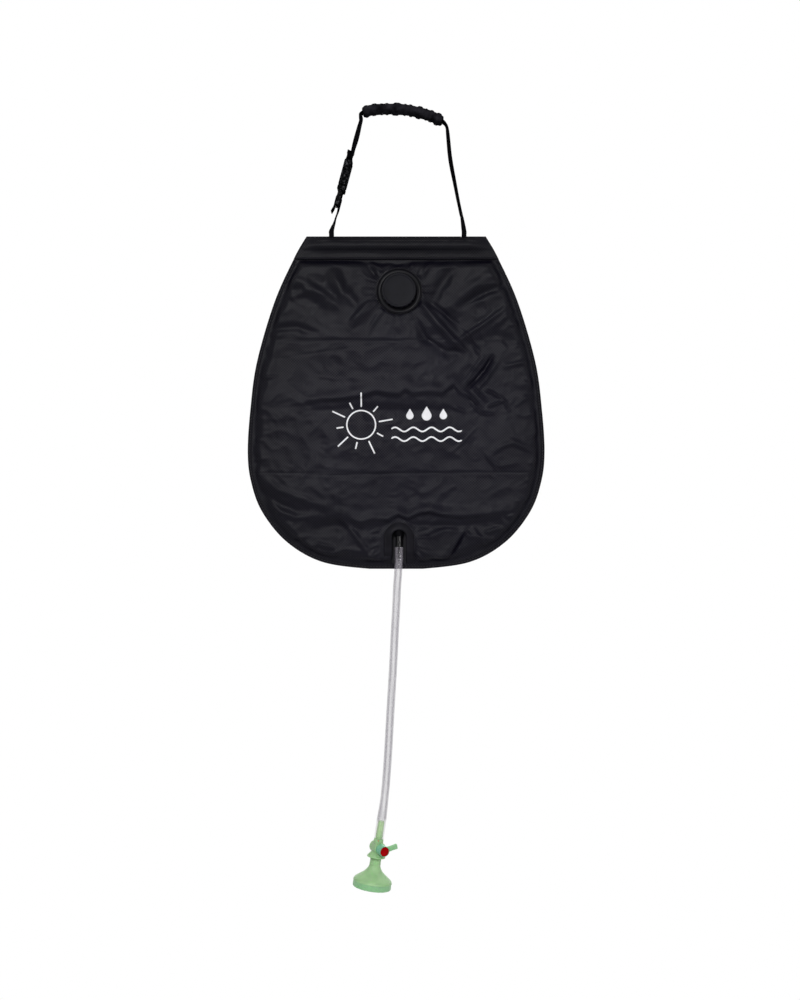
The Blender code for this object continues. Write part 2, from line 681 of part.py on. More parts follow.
def strap_lower():
    """Webbing from the left slit, round the ladder's middle bar, ending in a loose tail."""
    start = rounded_start(SLIT_LEFT_X)
    foot = in_buckle(LADDER_RADIUS, -LADDER_SLOT)
    run = between(start[-1][:2], foot, LOWER_RUN_SHARES)
    spread = [start[-1], *((x, z, *bunching(share)) for (x, z), (share, _) in zip(run, LOWER_RUN_SHARES))]
    wrap = [in_buckle(x, z) for x, z in arc(0, LADDER_BAR_Z, LADDER_RADIUS, 0, math.pi, WRAP_STEPS)]
    tail = [
        in_buckle(-LADDER_RADIUS, LADDER_BAR),
        in_buckle(-LADDER_RADIUS, -LADDER_BAR),
        in_buckle(-LADDER_RADIUS - LEG_GAP, -TAIL_LENGTH),
    ]
    flat = [(x, z, *WEB_FLAT) for x, z in [foot, in_buckle(LADDER_RADIUS, LADDER_BAR), *wrap, *tail]]
    smooth = smooth_curve([*spread, *flat], OUTLINE_STEPS)
    return web("strap_lower", [*start[:-1], *(tuple(s) for s in smooth)])


def grip_ring(x, z, run, half_y, half_n):
    """A rounded section square to the grip's middle line."""
    side = Vector((-run.y, run.x))
    ring = []
    for i in range(GRIP_SIDES):
        angle = FULL_TURN * (i + 0.5) / GRIP_SIDES
        power = 2 / GRIP_SECTION_POWER
        y = half_y * math.copysign(abs(math.cos(angle)) ** power, math.cos(angle))
        n = half_n * math.copysign(abs(math.sin(angle)) ** power, math.sin(angle))
        ring.append((x + side.x * n, y, z + side.y * n))
    return ring


def slot_ring(x, z, run, half_y, half_n):
    """The same number of points round a flat slot, each on the slot's outline."""
    side = Vector((-run.y, run.x))
    ring = []
    for i in range(GRIP_SIDES):
        angle = FULL_TURN * (i + 0.5) / GRIP_SIDES
        reach = 1 / max(abs(math.cos(angle)), abs(math.sin(angle)))
        y, n = half_y * math.cos(angle) * reach, half_n * math.sin(angle) * reach
        ring.append((x + side.x * n, y, z + side.y * n))
    return ring


def handle_grip():
    """A ribbed sleeve round the webbing, arched as a hand or a branch holds it."""
    line = [Vector(point) for point in grip_path()]
    count = len(line) - 1
    outer, inner = [], []
    for i, (x, z) in enumerate(line):
        run = (line[min(i + 1, count)] - line[max(i - 1, 0)]).normalized()
        rib = GRIP_RIB if i % 4 in (1, 2) else 0
        outer.append(grip_ring(x, z, run, GRIP_WIDTH / 2 + rib / 2, GRIP_THICKNESS / 2 + rib))
        clear = GRIP_SLOT_CLEARANCE
        inner.append(slot_ring(x, z, run, WEB_WIDTH / 2 + clear, WEB_THICKNESS / 2 + clear))
    return finish(hollow_loft("handle_grip", outer, inner), BLACK_RUBBER)


# Buckle
def buckle_socket(place):
    """The upper half: a flat box with a socket, side windows and a bar for the strap."""
    half_x, half_y = BUCKLE_THICKNESS / 2, BUCKLE_WIDTH / 2
    inner_x, inner_y = half_x - BUCKLE_WALL, half_y - BUCKLE_WALL
    web_y = WEB_WIDTH / 2 + 2 * GAP
    slot_z = BUCKLE_LENGTH - LOOP_BAR - LOOP_SLOT
    made = block("buckle_socket", (-half_x, -half_y, MOUTH_Z), (half_x, half_y, BUCKLE_LENGTH))
    soften(made, BUCKLE_WALL / 2)
    top = MOUTH_Z + SOCKET_DEPTH
    cutters = [
        block("socket_hollow", (-inner_x, -inner_y, MOUTH_Z - OVERRUN), (inner_x, inner_y, top)),
        block(
            "socket_windows",
            (-inner_x, -half_y - OVERRUN, WINDOW_Z),
            (inner_x, half_y + OVERRUN, WINDOW_Z + WINDOW_LENGTH),
        ),
        block(
            "socket_strap_slot",
            (-half_x - OVERRUN, -web_y, slot_z),
            (half_x + OVERRUN, web_y, slot_z + LOOP_SLOT),
        ),
    ]
    for side, name in ((-1, "socket_left_recess"), (1, "socket_right_recess")):
        near, far = side * LOOP_BAR / 2, side * (half_x + OVERRUN)
        low = (min(near, far), -web_y, slot_z)
        cutters.append(block(name, low, (max(near, far), web_y, BUCKLE_LENGTH + OVERRUN)))
    for cutter in cutters:
        cutter.parent = place
    cut(made, *cutters)
    return finish(made, BLACK_PLASTIC, place)


def buckle_frame(place):
    """The lower half: a ladder for the adjustable strap, a collar and the tongue between the prongs."""
    half_x, half_y = BUCKLE_THICKNESS / 2, BUCKLE_WIDTH / 2
    collar_z = LADDER_LENGTH - LADDER_COLLAR
    thin_x, bar_x = LADDER_THICKNESS / 2, LADDER_BAR / 2
    inner_y = WEB_WIDTH / 2 + 2 * GAP
    rail_y = inner_y + SIDE_RAIL
    made = block("buckle_frame", (-half_x, -half_y, collar_z), (half_x, half_y, LADDER_LENGTH))
    soften(made, BUCKLE_WALL / 2)
    tongue_x = half_x - BUCKLE_WALL - 2 * GAP
    ladder = block("ladder_plate", (-thin_x, -rail_y, 0), (thin_x, rail_y, collar_z + BUCKLE_WALL))
    tongue = block(
        "ladder_tongue",
        (-tongue_x, -TONGUE_WIDTH / 2, LADDER_LENGTH - BUCKLE_WALL),
        (tongue_x, TONGUE_WIDTH / 2, LADDER_LENGTH + TONGUE_LENGTH),
    )
    cutters = []
    for step, name in enumerate(("ladder_lower_slot", "ladder_upper_slot")):
        low = LADDER_BAR + step * (LADDER_BAR + LADDER_SLOT)
        cutters.append(block(name, (-half_x, -inner_y, low), (half_x, inner_y, low + LADDER_SLOT)))
    for side, name in ((-1, "ladder_left_recess"), (1, "ladder_right_recess")):
        near, far = side * bar_x, side * (half_x + OVERRUN)
        high = LADDER_BAR * 2 + LADDER_SLOT
        cutters.append(block(name, (min(near, far), -inner_y, -OVERRUN), (max(near, far), inner_y, high)))
    for helper in (ladder, tongue, *cutters):
        helper.parent = place
    combine(made, ladder, "UNION")
    combine(made, tongue, "UNION")
    cut(made, *cutters)
    return finish(made, BLACK_PLASTIC, place)


def buckle_prong(name, side, place):
    """A springing prong with its button in the socket's window. Its origin is on its hinge line."""
    middle = BUCKLE_WIDTH / 2 - PRONG_INSET
    pivot_z = LADDER_LENGTH + PRONG_PIVOT
    start = GAP - PRONG_PIVOT
    end = start + PRONG_LENGTH
    half = PRONG_THICKNESS / 2
    button_low = WINDOW_Z - pivot_z
    shoulder = button_low + WINDOW_LENGTH - CATCH_PLAY
    button = PRONG_INSET + BUTTON_PROUD
    outline = (
        (-half, start), (half, start), (half, button_low - half), (button, button_low + half),
        (button, shoulder), (half + BUCKLE_WALL, shoulder), (0, end), (-half, end),
    )
    reach = BUCKLE_THICKNESS / 2 - BUCKLE_WALL - 2 * GAP
    outline = [(side * y, z) for y, z in outline]
    made = prism(name, outline, -reach, reach, Matrix.Translation((0, side * middle, pivot_z)))
    return finish(made, BLACK_PLASTIC, place)


# Filler
OUT_OF_FRONT = Matrix.Rotation(math.pi / 2, 4, "X")


def filler_flange(place):
    outer, bead = FILLER_DIAMETER / 2, FILLER_BEAD_WIDTH
    neck, bore = NECK_DIAMETER / 2, NECK_DIAMETER / 2 - NECK_WALL
    plate = GAP + FILLER_PLATE
    profile = (
        (bore, -NECK_INSIDE), (neck, -NECK_INSIDE), (neck, GAP), (outer, GAP), (outer, plate),
        (outer - bead / 2, plate + FILLER_BEAD), (outer - bead, plate), (neck, plate),
        (neck, NECK_HEIGHT), (bore, NECK_HEIGHT),
    )
    return finish(turned("filler_flange", profile, ROUND_STEPS), BLACK_RUBBER, place)


def cap_seal(place):
    outer = NECK_DIAMETER / 2
    low = NECK_HEIGHT + GAP
    inner, high = outer - SEAL_WIDTH, low + SEAL_THICKNESS
    profile = ((inner, low), (outer, low), (outer, high), (inner, high))
    return finish(turned("cap_seal", profile, ROUND_STEPS), SEAL_RUBBER, place)


def filler_cap(place):
    """A screw cap with a slightly dished top and a fluted skirt."""
    outer = CAP_DIAMETER / 2
    inner = NECK_DIAMETER / 2 + THREAD_DEPTH + GAP
    foot = GAP + FILLER_PLATE + FILLER_BEAD + GAP
    ceiling = NECK_HEIGHT + SEAL_THICKNESS + 2 * GAP
    top = ceiling + CAP_TOP
    dish = outer - CAP_RIM_WIDTH
    profile = (
        (0, ceiling), (inner, ceiling), (inner, foot), (outer, foot), (outer, top - CAP_EDGE),
        (outer - CAP_EDGE, top), (dish, top), (dish - CAP_EDGE, top - CAP_DISH), (0, top - CAP_DISH),
    )
    made = turned("filler_cap", profile, ROUND_STEPS)
    reach = outer + FLUTE_RADIUS - FLUTE_DEPTH
    flutes = []
    for i in range(CAP_FLUTES):
        turn = Matrix.Rotation(FULL_TURN * i / CAP_FLUTES, 4, "Z") @ Matrix.Translation((reach, 0, 0))
        low, high = foot - OVERRUN, top - 2 * CAP_EDGE
        flutes.append(cylinder("flute", FLUTE_RADIUS, low, high, SMALL_STEPS // 3, turn))
    flute_cutter = joined_cutter("cap_flutes", flutes)
    flute_cutter.parent = place
    cut(made, flute_cutter)
    return finish(made, BLACK_PLASTIC, place)


# Outlet
ARCH_Z = BAG_BOTTOM_Z + OUTLET_CENTRE_RISE
LEG_FOOT_Z = PANEL_BOTTOM_Z + SEAM_WIDTH + OUTLET_FOOT
SPOUT_TOP_Z = ARCH_Z + OUTLET_INNER
SEAM_CLEAR_Y = -(FLAP_FACE + BINDING + SEAM_CLEARANCE + HOSE_DIAMETER / 2)
SEAM_CLEAR_Z = BAG_BOTTOM_Z + BINDING_LEG


def spout_y(z):
    """Front-to-back place of the spout's axis: it leans forward and clears the bound edge below it."""
    return SEAM_CLEAR_Y + (z - SEAM_CLEAR_Z) * math.tan(SPOUT_LEAN)


def arch_stations():
    """Places round the outlet's arch, from one foot over the top to the other: (centre z, direction)."""
    legs = [PANEL_BOTTOM_Z + SEAM_WIDTH + PUFF_RUN * i / RISE_STEPS for i in range(1, RISE_STEPS + 1)]
    left = [(z, math.pi) for z in (LEG_FOOT_Z, *legs)]
    over = [(ARCH_Z, math.pi - math.pi * i / ARCH_STEPS) for i in range(ARCH_STEPS + 1)]
    return left + over + [(z, 0.0) for z, _ in left[::-1]]


def arch_point(radius, station):
    z, angle = station
    return OUTLET_X + radius * math.cos(angle), z + radius * math.sin(angle)


def floor_y(z):
    """The front face of the recess's floor, behind the hose."""
    return spout_y(z) + HOSE_DIAMETER / 2 + 2 * GAP


def outlet_flange():
    """A welded rim round a U-shaped recess, with the recess's wall and floor."""
    wall_out = OUTLET_INNER + OUTLET_WALL
    rings = []
    for station in arch_stations():
        points = {radius: arch_point(radius, station) for radius in (OUTLET_OUTER, wall_out, OUTLET_INNER)}
        seat = -rise(station[0] - PANEL_BOTTOM_Z) - GAP
        front = seat - OUTLET_LIP
        ring = []
        for radius, y in (
            (OUTLET_OUTER, seat), (OUTLET_OUTER, front), (OUTLET_INNER, front),
            (OUTLET_INNER, None), (wall_out, None), (wall_out, seat),
        ):
            x, z = points[radius]
            back = floor_y(z) + OUTLET_FLOOR + WALL_HEM
            ring.append((x, back if y is None else y, z))
        rings.append(ring)
    made = straight_loft("outlet_flange", rings)
    middle = OUTLET_INNER + OUTLET_WALL / 2
    edge = [arch_point(middle, station) for station in arch_stations()]
    slab = [[(x, floor_y(z) + depth, z) for x, z in edge] for depth in (0, OUTLET_FLOOR)]
    combine(made, straight_loft("recess_floor", slab), "UNION")
    hole_radius = SPOUT_DIAMETER / 2 + GAP
    cut(made, cylinder("spout_hole", hole_radius, -OUTLET_INNER, OUTLET_INNER, SMALL_STEPS, spout_place()))
    return finish(made, BLACK_RUBBER)


def notch_cutter():
    """Cuts the front panel where the outlet's wall goes through it."""
    radius = OUTLET_INNER + OUTLET_WALL + GAP
    foot = (LEG_FOOT_Z - GAP, math.pi)
    stations = [foot, *arch_stations()[1:-1], (foot[0], 0.0)]
    edge = [arch_point(radius, station) for station in stations]
    slab = [[(x, y, z) for x, z in edge] for y in (-PUFF - OVERRUN, 0)]
    return straight_loft("outlet_notch", slab)


def spout_place():
    """The spout's frame: at the top of the recess, z up along the spout."""
    top = Vector((OUTLET_X, spout_y(SPOUT_TOP_Z), SPOUT_TOP_Z))
    return Matrix.Translation(top) @ Matrix.Rotation(-SPOUT_LEAN, 4, "X")


def barbs(top, length, inner_radius):
    """Outline of a barbed tail from its open end at top down to its root."""
    step = length / BARB_COUNT
    points = []
    for i in range(BARB_COUNT):
        points.append((inner_radius - BARB_STEP, top - step * i))
        points.append((inner_radius, top - step * (i + BARB_RISE_SHARE)))
    return points


BARB_RADIUS = HOSE_BORE / 2 * math.cos(math.pi / (4 + 2 * HOSE_RESOLUTION)) - BARB_CLEARANCE


def outlet_spout():
    """A barbed spout through the top of the recess's wall, with its root inside the bag."""
    radius, bore = SPOUT_DIAMETER / 2, SPOUT_BORE / 2
    root_low = OUTLET_WALL + SPOUT_ROOT_DIAMETER / 2 * math.tan(SPOUT_LEAN) + 2 * GAP
    tail = [(r, -z) for r, z in barbs(SPOUT_VISIBLE + SPOUT_BARB_LENGTH, SPOUT_BARB_LENGTH, BARB_RADIUS)]
    profile = [
        (bore, root_low + SPOUT_ROOT), (bore, -SPOUT_VISIBLE - SPOUT_BARB_LENGTH), *tail,
        (BARB_RADIUS - BARB_STEP, -SPOUT_VISIBLE), (radius, -SPOUT_VISIBLE), (radius, root_low),
        (SPOUT_ROOT_DIAMETER / 2, root_low), (SPOUT_ROOT_DIAMETER / 2, root_low + SPOUT_ROOT),
    ]
    made = turned("outlet_spout", profile, SMALL_STEPS, spout_place())
    return finish(made, BLACK_PLASTIC)


# Hose
HEAD_PLACE = Matrix.Translation((HEAD_X, HEAD_Y, HEAD_Z)) @ Matrix.Rotation(HEAD_TILT, 4, "Y")


def hose_points(overrun):
    """The hose's middle line: straight on the spout's barbs and the valve's tail, smooth between."""
    spout, head = spout_place(), HEAD_PLACE
    shoulder = -SPOUT_VISIBLE - GAP
    top = [spout @ Vector((0, 0, shoulder - SPOUT_BARB_LENGTH * share)) for share in HOSE_END_SHARES]
    foot = [head @ Vector((0, 0, TAIL_BARBS * share)) for share in HOSE_END_SHARES[::-1]]
    line = [*top, *map(Vector, HOSE_ROUTE), *foot]
    line[0] = line[0] + (line[0] - line[1]).normalized() * overrun
    line[-1] = line[-1] + (line[-1] - line[-2]).normalized() * overrun
    return line


def tube_mesh(name, points, radius):
    """A round tube with filled ends along points, as a mesh."""
    curve = bpy.data.curves.new(name, "CURVE")
    curve.dimensions = "3D"
    curve.bevel_depth = radius
    curve.bevel_resolution = HOSE_RESOLUTION
    curve.use_fill_caps = True
    spline = curve.splines.new("POLY")
    spline.points.add(len(points) - 1)
    for place, point in zip(spline.points, points):
        place.co = (*point, 1)
    drawn = bpy.data.objects.new(name + "_line", curve)
    bpy.context.scene.collection.objects.link(drawn)
    bpy.context.view_layer.update()
    mesh = bpy.data.meshes.new_from_object(drawn.evaluated_get(bpy.context.evaluated_depsgraph_get()))
    bpy.data.objects.remove(drawn)
    tool = bmesh.new()
    tool.from_mesh(mesh)
    bmesh.ops.remove_doubles(tool, verts=tool.verts, dist=GAP / ROUND_STEPS)
    return object_from(name, tool)


def hose():
    made = tube_mesh("hose", hose_points(0), HOSE_DIAMETER / 2)
    cut(made, tube_mesh("hose_bore", hose_points(OVERRUN), HOSE_BORE / 2))
    return finish(made, CLEAR_VINYL)


# Valve and shower head
PLUG_PLACE = (
    Matrix.Translation((0, 0, -BARREL_DROP))
    @ Matrix.Rotation(PLUG_TURN, 4, "Z")
    @ Matrix.Rotation(math.pi / 2, 4, "X")
)
STUB_TOP = FLARE_END + FLARE_EDGE
STUB_END = STUB_TOP + STUB_LENGTH


def valve_body(place):
    """Barbed tail, collar, cross barrel, flared skirt and the stub that carries the head."""
    collar, waist = COLLAR_DIAMETER / 2, WAIST_DIAMETER / 2
    flare, stub = FLARE_DIAMETER / 2, STUB_DIAMETER / 2
    profile = [
        (0, TAIL_BARBS), *barbs(TAIL_BARBS, TAIL_BARBS, BARB_RADIUS), (BARB_RADIUS - BARB_STEP, -GAP),
        (collar, -GAP), (collar, -COLLAR_HEIGHT), (waist, -BARREL_DROP), (waist, -FLARE_START),
        (flare, -FLARE_END), (flare, -FLARE_END - FLARE_EDGE / 2), (stub, -STUB_TOP),
        (stub, -STUB_END), (0, -STUB_END),
    ]
    made = turned("valve_body", profile, SMALL_STEPS)
    barrel = cylinder("valve_barrel", BARREL_DIAMETER / 2, -BARREL_BACK, BARREL_FRONT, SMALL_STEPS, PLUG_PLACE)
    plug_hole = PLUG_DIAMETER / 2 + PLUG_CLEARANCE
    seat = cylinder(
        "plug_seat", plug_hole, PLUG_END - BARREL_BACK, BARREL_FRONT + OVERRUN, SMALL_STEPS, PLUG_PLACE
    )
    bore = cylinder("flow_bore", FLOW_BORE / 2, -STUB_END - OVERRUN, TAIL_BARBS + OVERRUN, SMALL_STEPS // 2)
    for helper in (barrel, seat, bore):
        helper.parent = place
    combine(made, barrel, "UNION")
    cut(made, seat, bore)
    return finish(made, GREEN_PLASTIC, place)


BOSS_LOW = BARREL_FRONT + GAP
BOSS_HIGH = BOSS_LOW + BOSS_LENGTH
PLUG_LOW = PLUG_END - BARREL_BACK + GAP


def valve_plug(place):
    """The turning plug with its cross bore, boss and lever. Its z runs out along the plug."""
    core, boss = PLUG_DIAMETER / 2, BOSS_DIAMETER / 2
    groove = core - RING_GROOVE
    ring_half = RING_SECTION / 2 + GAP
    profile = (
        (0, PLUG_LOW), (core, PLUG_LOW), (core, RING_PLACE - ring_half), (groove, RING_PLACE - ring_half),
        (groove, RING_PLACE + ring_half), (core, RING_PLACE + ring_half), (core, BOSS_LOW),
        (boss, BOSS_LOW), (boss, BOSS_HIGH), (DISC_DIAMETER / 2 + GAP, BOSS_HIGH),
        (DISC_DIAMETER / 2 + GAP, BOSS_HIGH - DISC_SINK), (0, BOSS_HIGH - DISC_SINK),
    )
    made = turned("valve_plug", profile, SMALL_STEPS)
    lever_high = BOSS_HIGH - LEVER_SET_BACK
    lever = block(
        "lever_bar",
        (boss / 2, -LEVER_WIDTH / 2, lever_high - LEVER_THICKNESS),
        (LEVER_REACH, LEVER_WIDTH / 2, lever_high),
        Matrix.Rotation(LEVER_REST, 4, "Z"),
    )
    across = Matrix.Rotation(LEVER_REST, 4, "Z") @ Matrix.Rotation(math.pi / 2, 4, "Y")
    bore = cylinder("plug_bore", FLOW_BORE / 2, -core - OVERRUN, core + OVERRUN, SMALL_STEPS // 2, across)
    for helper in (lever, bore):
        helper.parent = place
    combine(made, lever, "UNION")
    cut(made, bore)
    return finish(made, GREEN_DARK, place)


def plug_oring(place):
    """The plug's seal ring in its groove."""
    middle = PLUG_DIAMETER / 2 - RING_GROOVE + GAP + RING_SECTION / 2
    profile = [
        (middle + RING_SECTION / 2 * math.cos(a), RING_PLACE + RING_SECTION / 2 * math.sin(a))
        for a in (FULL_TURN * i / RING_SIDES for i in range(RING_SIDES))
    ]
    return finish(turned("plug_oring", profile, SMALL_STEPS), SEAL_RUBBER, place)


def indicator_disc(place):
    low = BOSS_HIGH - DISC_SINK + GAP
    made = cylinder("indicator_disc", DISC_DIAMETER / 2, low, low + DISC_THICKNESS, SMALL_STEPS)
    return finish(made, RED_PLASTIC, place)


NECK_TOP = STUB_TOP + GAP
NECK_BORE = STUB_DIAMETER / 2 + NECK_CLEARANCE
WASHER_TOP = STUB_END + GAP
WASHER_LOW = WASHER_TOP + WASHER_THICKNESS
HEAD_END = NECK_TOP + HEAD_HEIGHT


def head_washer(place):
    outer, bore = STUB_DIAMETER / 2, WASHER_BORE / 2
    profile = ((bore, -WASHER_LOW), (outer, -WASHER_LOW), (outer, -WASHER_TOP), (bore, -WASHER_TOP))
    return finish(turned("head_washer", profile, SMALL_STEPS), SEAL_RUBBER, place)


def bell(neck_radius, rim_radius, start, end):
    spread, height = rim_radius - neck_radius, end - start
    return [(neck_radius + spread * r, -(start + height * d)) for r, d in BELL_SHARES]


def head_shell(place):
    """Neck, bell and rim of the shower head, hollow, with a ledge for the rose plate."""
    rim, neck = HEAD_DIAMETER / 2, HEAD_NECK_DIAMETER / 2
    rim_top = HEAD_END - RIM_HEIGHT
    step = WASHER_LOW + GAP
    seat = HEAD_END - ROSE_SINK - ROSE_THICKNESS - GAP
    ledge = rim - HEAD_WALL
    outer = bell(neck, rim, NECK_TOP + HEAD_NECK_LENGTH, rim_top)
    inner = bell(WASHER_BORE / 2, ledge - ROSE_LEDGE, step + HEAD_WALL, rim_top + HEAD_WALL)
    profile = [
        (NECK_BORE, -NECK_TOP), (neck, -NECK_TOP), *outer,
        (rim, RIM_EDGE - HEAD_END), (rim - RIM_EDGE, -HEAD_END),
        (ledge, -HEAD_END), (ledge, -seat), (ledge - ROSE_LEDGE, -seat), *inner[::-1],
        (WASHER_BORE / 2, -step), (NECK_BORE, -step),
    ]
    return finish(turned("head_shell", profile, ROUND_STEPS), GREEN_PLASTIC, place)


def rose_plate(place):
    """The perforated plate that the water leaves by."""
    radius = HEAD_DIAMETER / 2 - HEAD_WALL - GAP
    high = HEAD_END - ROSE_SINK - ROSE_THICKNESS
    low = HEAD_END - ROSE_SINK
    made = cylinder("rose_plate", radius, -low, -high, ROUND_STEPS)
    holes = [(0, 0)]
    for ring in range(1, ROSE_RINGS + 1):
        count = 6 * ring
        holes += [(ring * ROSE_RING_STEP, FULL_TURN * i / count) for i in range(count)]
    parts = [
        cylinder(
            "hole", ROSE_HOLE / 2, -low - OVERRUN, OVERRUN - high, ROSE_HOLE_SIDES,
            Matrix.Translation((reach * math.cos(turn), reach * math.sin(turn), 0)),
        )
        for reach, turn in holes
    ]
    hole_cutter = joined_cutter("rose_holes", parts)
    hole_cutter.parent = place
    cut(made, hole_cutter)
    return finish(made, GREEN_PLASTIC, place)


def build():
    front = panel("front_panel", -1)
    filler = empty("filler_axis", Matrix.Translation((FILLER_X, -PUFF, FILLER_Z)) @ OUT_OF_FRONT)
    neck_hole = cylinder("neck_hole", NECK_DIAMETER / 2 + GAP, -NECK_INSIDE, OVERRUN, ROUND_STEPS)
    neck_hole.parent = filler
    cut(front, neck_hole, notch_cutter())
    panel("back_panel", 1)
    edge_binding()
    top_sleeve()
    hang_tube()
    sleeve_piping("sleeve_piping_front", -1)
    sleeve_piping("sleeve_piping_back", 1)

    strap_inner()
    strap_main()
    strap_lower()
    handle_grip()
    buckle = empty(
        "buckle_axis", Matrix.Translation((BUCKLE_X, 0, BUCKLE_Z)) @ Matrix.Rotation(BUCKLE_TILT, 4, "Y")
    )
    buckle_socket(buckle)
    buckle_frame(buckle)
    buckle_prong("buckle_prong_front", -1, buckle)
    buckle_prong("buckle_prong_back", 1, buckle)

    filler_flange(filler)
    cap_seal(filler)
    filler_cap(filler)

    outlet_flange()
    outlet_spout()
    hose()

    head = empty("head_axis", HEAD_PLACE)
    plug = empty("plug_axis", PLUG_PLACE)
    plug.parent = head
    valve_body(head)
    valve_plug(plug)
    plug_oring(plug)
    indicator_disc(plug)
    head_washer(head)
    head_shell(head)
    rose_plate(head)


build()
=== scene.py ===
import math

import bmesh
import bpy
import numpy as np
from mathutils import Matrix, Vector, noise
from mathutils.geometry import delaunay_2d_cdt


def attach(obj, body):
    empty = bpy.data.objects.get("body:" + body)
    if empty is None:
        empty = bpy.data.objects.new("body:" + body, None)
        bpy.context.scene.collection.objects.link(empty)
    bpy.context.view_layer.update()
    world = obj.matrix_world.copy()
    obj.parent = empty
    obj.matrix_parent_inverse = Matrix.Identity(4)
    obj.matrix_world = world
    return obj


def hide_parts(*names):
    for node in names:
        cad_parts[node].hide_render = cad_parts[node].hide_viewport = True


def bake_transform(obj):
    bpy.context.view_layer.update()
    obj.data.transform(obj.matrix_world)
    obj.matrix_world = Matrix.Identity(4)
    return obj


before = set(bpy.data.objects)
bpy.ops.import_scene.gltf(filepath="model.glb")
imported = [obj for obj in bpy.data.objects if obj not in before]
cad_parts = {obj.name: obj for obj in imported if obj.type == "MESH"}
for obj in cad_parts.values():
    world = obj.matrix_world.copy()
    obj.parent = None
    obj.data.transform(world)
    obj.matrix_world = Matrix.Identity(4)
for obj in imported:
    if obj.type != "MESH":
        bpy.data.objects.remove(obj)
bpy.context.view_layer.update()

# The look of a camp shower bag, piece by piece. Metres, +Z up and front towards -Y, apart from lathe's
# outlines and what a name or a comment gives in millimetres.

MM = 0.001
GAP = 0.0003
TURN = 2 * math.pi
QUARTER = math.pi / 2
SHARP = math.radians(40)
EDGE_ANGLE = math.radians(30)

# Bag
BAG_WIDTH = 0.401
BAG_HEIGHT = 0.449
BAG_TOP_Z = -0.1655
BAG_BOTTOM_Z = BAG_TOP_Z - BAG_HEIGHT
BAG_CENTRE_X = -0.0025
SHEET = 0.0008
SEAM_FACE = 0.00095
PUFF = 0.007
PUFF_RUN = 0.016
FRONT_RUN = 0.0115
SEAM_WIDTH = 0.0055
PANEL_INSET = 0.0013
PANEL_TOP_Z = -0.190
PANEL_RISE_Z = -0.198
PANEL_BOTTOM_Z = BAG_BOTTOM_Z + PANEL_INSET
SLEEVE_BOTTOM_Z = -0.197
# Levels of the two creases left from packing, and how deep they are
PACKING_CREASES = ((-0.3060, 2.4), (-0.4850, 2.0))
# Centre of the cloth's painted shade: the cloth is painted darker with distance from this point
CLOTH_LIT_CENTRE = (0.02, 0.0, -0.43)
# Depth below the top edge as a share of the height, half width as a share of half the bag's width
BAG_OUTLINE_SHARES = (
    (0.0, 0.603), (0.066, 0.687), (0.198, 0.820), (0.378, 0.938), (0.520, 0.982), (0.649, 1.0),
    (0.739, 0.977), (0.829, 0.902), (0.919, 0.737), (0.979, 0.500), (1.0, 0.180), (1.0, 0.0),
)

# Filler and outlet
FILLER_X, FILLER_Z = 0.0013, -0.2405
FLANGE_RADIUS = 0.031
NECK_RADIUS = 0.019
OUTLET_X = 0.0013
ARCH_Z = BAG_BOTTOM_Z + 0.0432
ARCH_OUTER = 0.020
ARCH_INNER = 0.0093
ARCH_WALL = 0.0016
SPOUT_LEAN = math.radians(8.5)
SPOUT_TOP = (0.0013, -0.0010511, -0.562)

# Straps and grip
SWING_Z = -0.16265
SLIT_LEFT_X, SLIT_RIGHT_X = -0.0898, 0.0892
TUBE_Z = -0.1776
TUBE_OUT = 0.00765
BUCKLE_X, BUCKLE_Z = -0.0824, -0.1243
BUCKLE_TILT = math.radians(15.2)
BUCKLE_LENGTH = 0.0616
WEBBING_HALF = 0.0125
WEBBING_HALF_THICK = 0.00075
GRIP_LEFT_X, GRIP_TOP_Z = -0.0475, 0.0066
GRIP_SPAN, GRIP_DROP = 0.1075, 0.017

# Hose and head
HOSE_RADIUS = 0.0054
HOSE_BORE = 0.004
HOSE_FOOT = (-0.0257, -0.0145, -0.9754)
TAIL_TOP_Z = -0.9517
HEAD_LEAN = math.radians(8.4)
PLUG_DROP = 0.012
PLUG_TURN = math.radians(27)
LEVER_TURN = math.radians(20)
HEAD_PLACE = Matrix.Translation(HOSE_FOOT) @ Matrix.Rotation(HEAD_LEAN, 4, "Y")
PLUG_PLACE = (
    HEAD_PLACE @ Matrix.Translation((0, 0, -PLUG_DROP)) @ Matrix.Rotation(PLUG_TURN, 4, "Z")
    @ Matrix.Rotation(QUARTER, 4, "X")
)
SPOUT_PLACE = Matrix.Translation(SPOUT_TOP) @ Matrix.Rotation(-SPOUT_LEAN, 4, "X")
FILLER_PLACE = Matrix.Translation((FILLER_X, -PUFF, FILLER_Z)) @ Matrix.Rotation(QUARTER, 4, "X")


# Camera
def add_camera():
    data = bpy.data.cameras.new("view")
    camera = bpy.data.objects.new("view", data)
    bpy.context.scene.collection.objects.link(camera)
    distance, height, sensor = 2.0, 1.351, 36.0
    data.sensor_width = sensor
    data.lens = sensor * distance / height
    camera.location = (0.0027, -distance, -0.5215)
    camera.rotation_euler = (QUARTER, 0, 0)
    bpy.context.scene.camera = camera


add_camera()


# Small mesh tools
def add_object(name, mesh, smooth=True):
    obj = bpy.data.objects.new(name, mesh)
    bpy.context.scene.collection.objects.link(obj)
    if smooth:
        mesh.shade_smooth()
        mesh.set_sharp_from_angle(angle=SHARP)
    return obj


def mesh_object(name, points, faces, smooth=True):
    mesh = bpy.data.meshes.new(name)
    mesh.from_pydata([tuple(map(float, p)) for p in points], [], [tuple(map(int, f)) for f in faces])
    mesh.update()
    return add_object(name, mesh, smooth)


def edit_mesh(mesh, change):
    tool = bmesh.new()
    tool.from_mesh(mesh)
    change(tool)
    tool.to_mesh(mesh)
    tool.free()


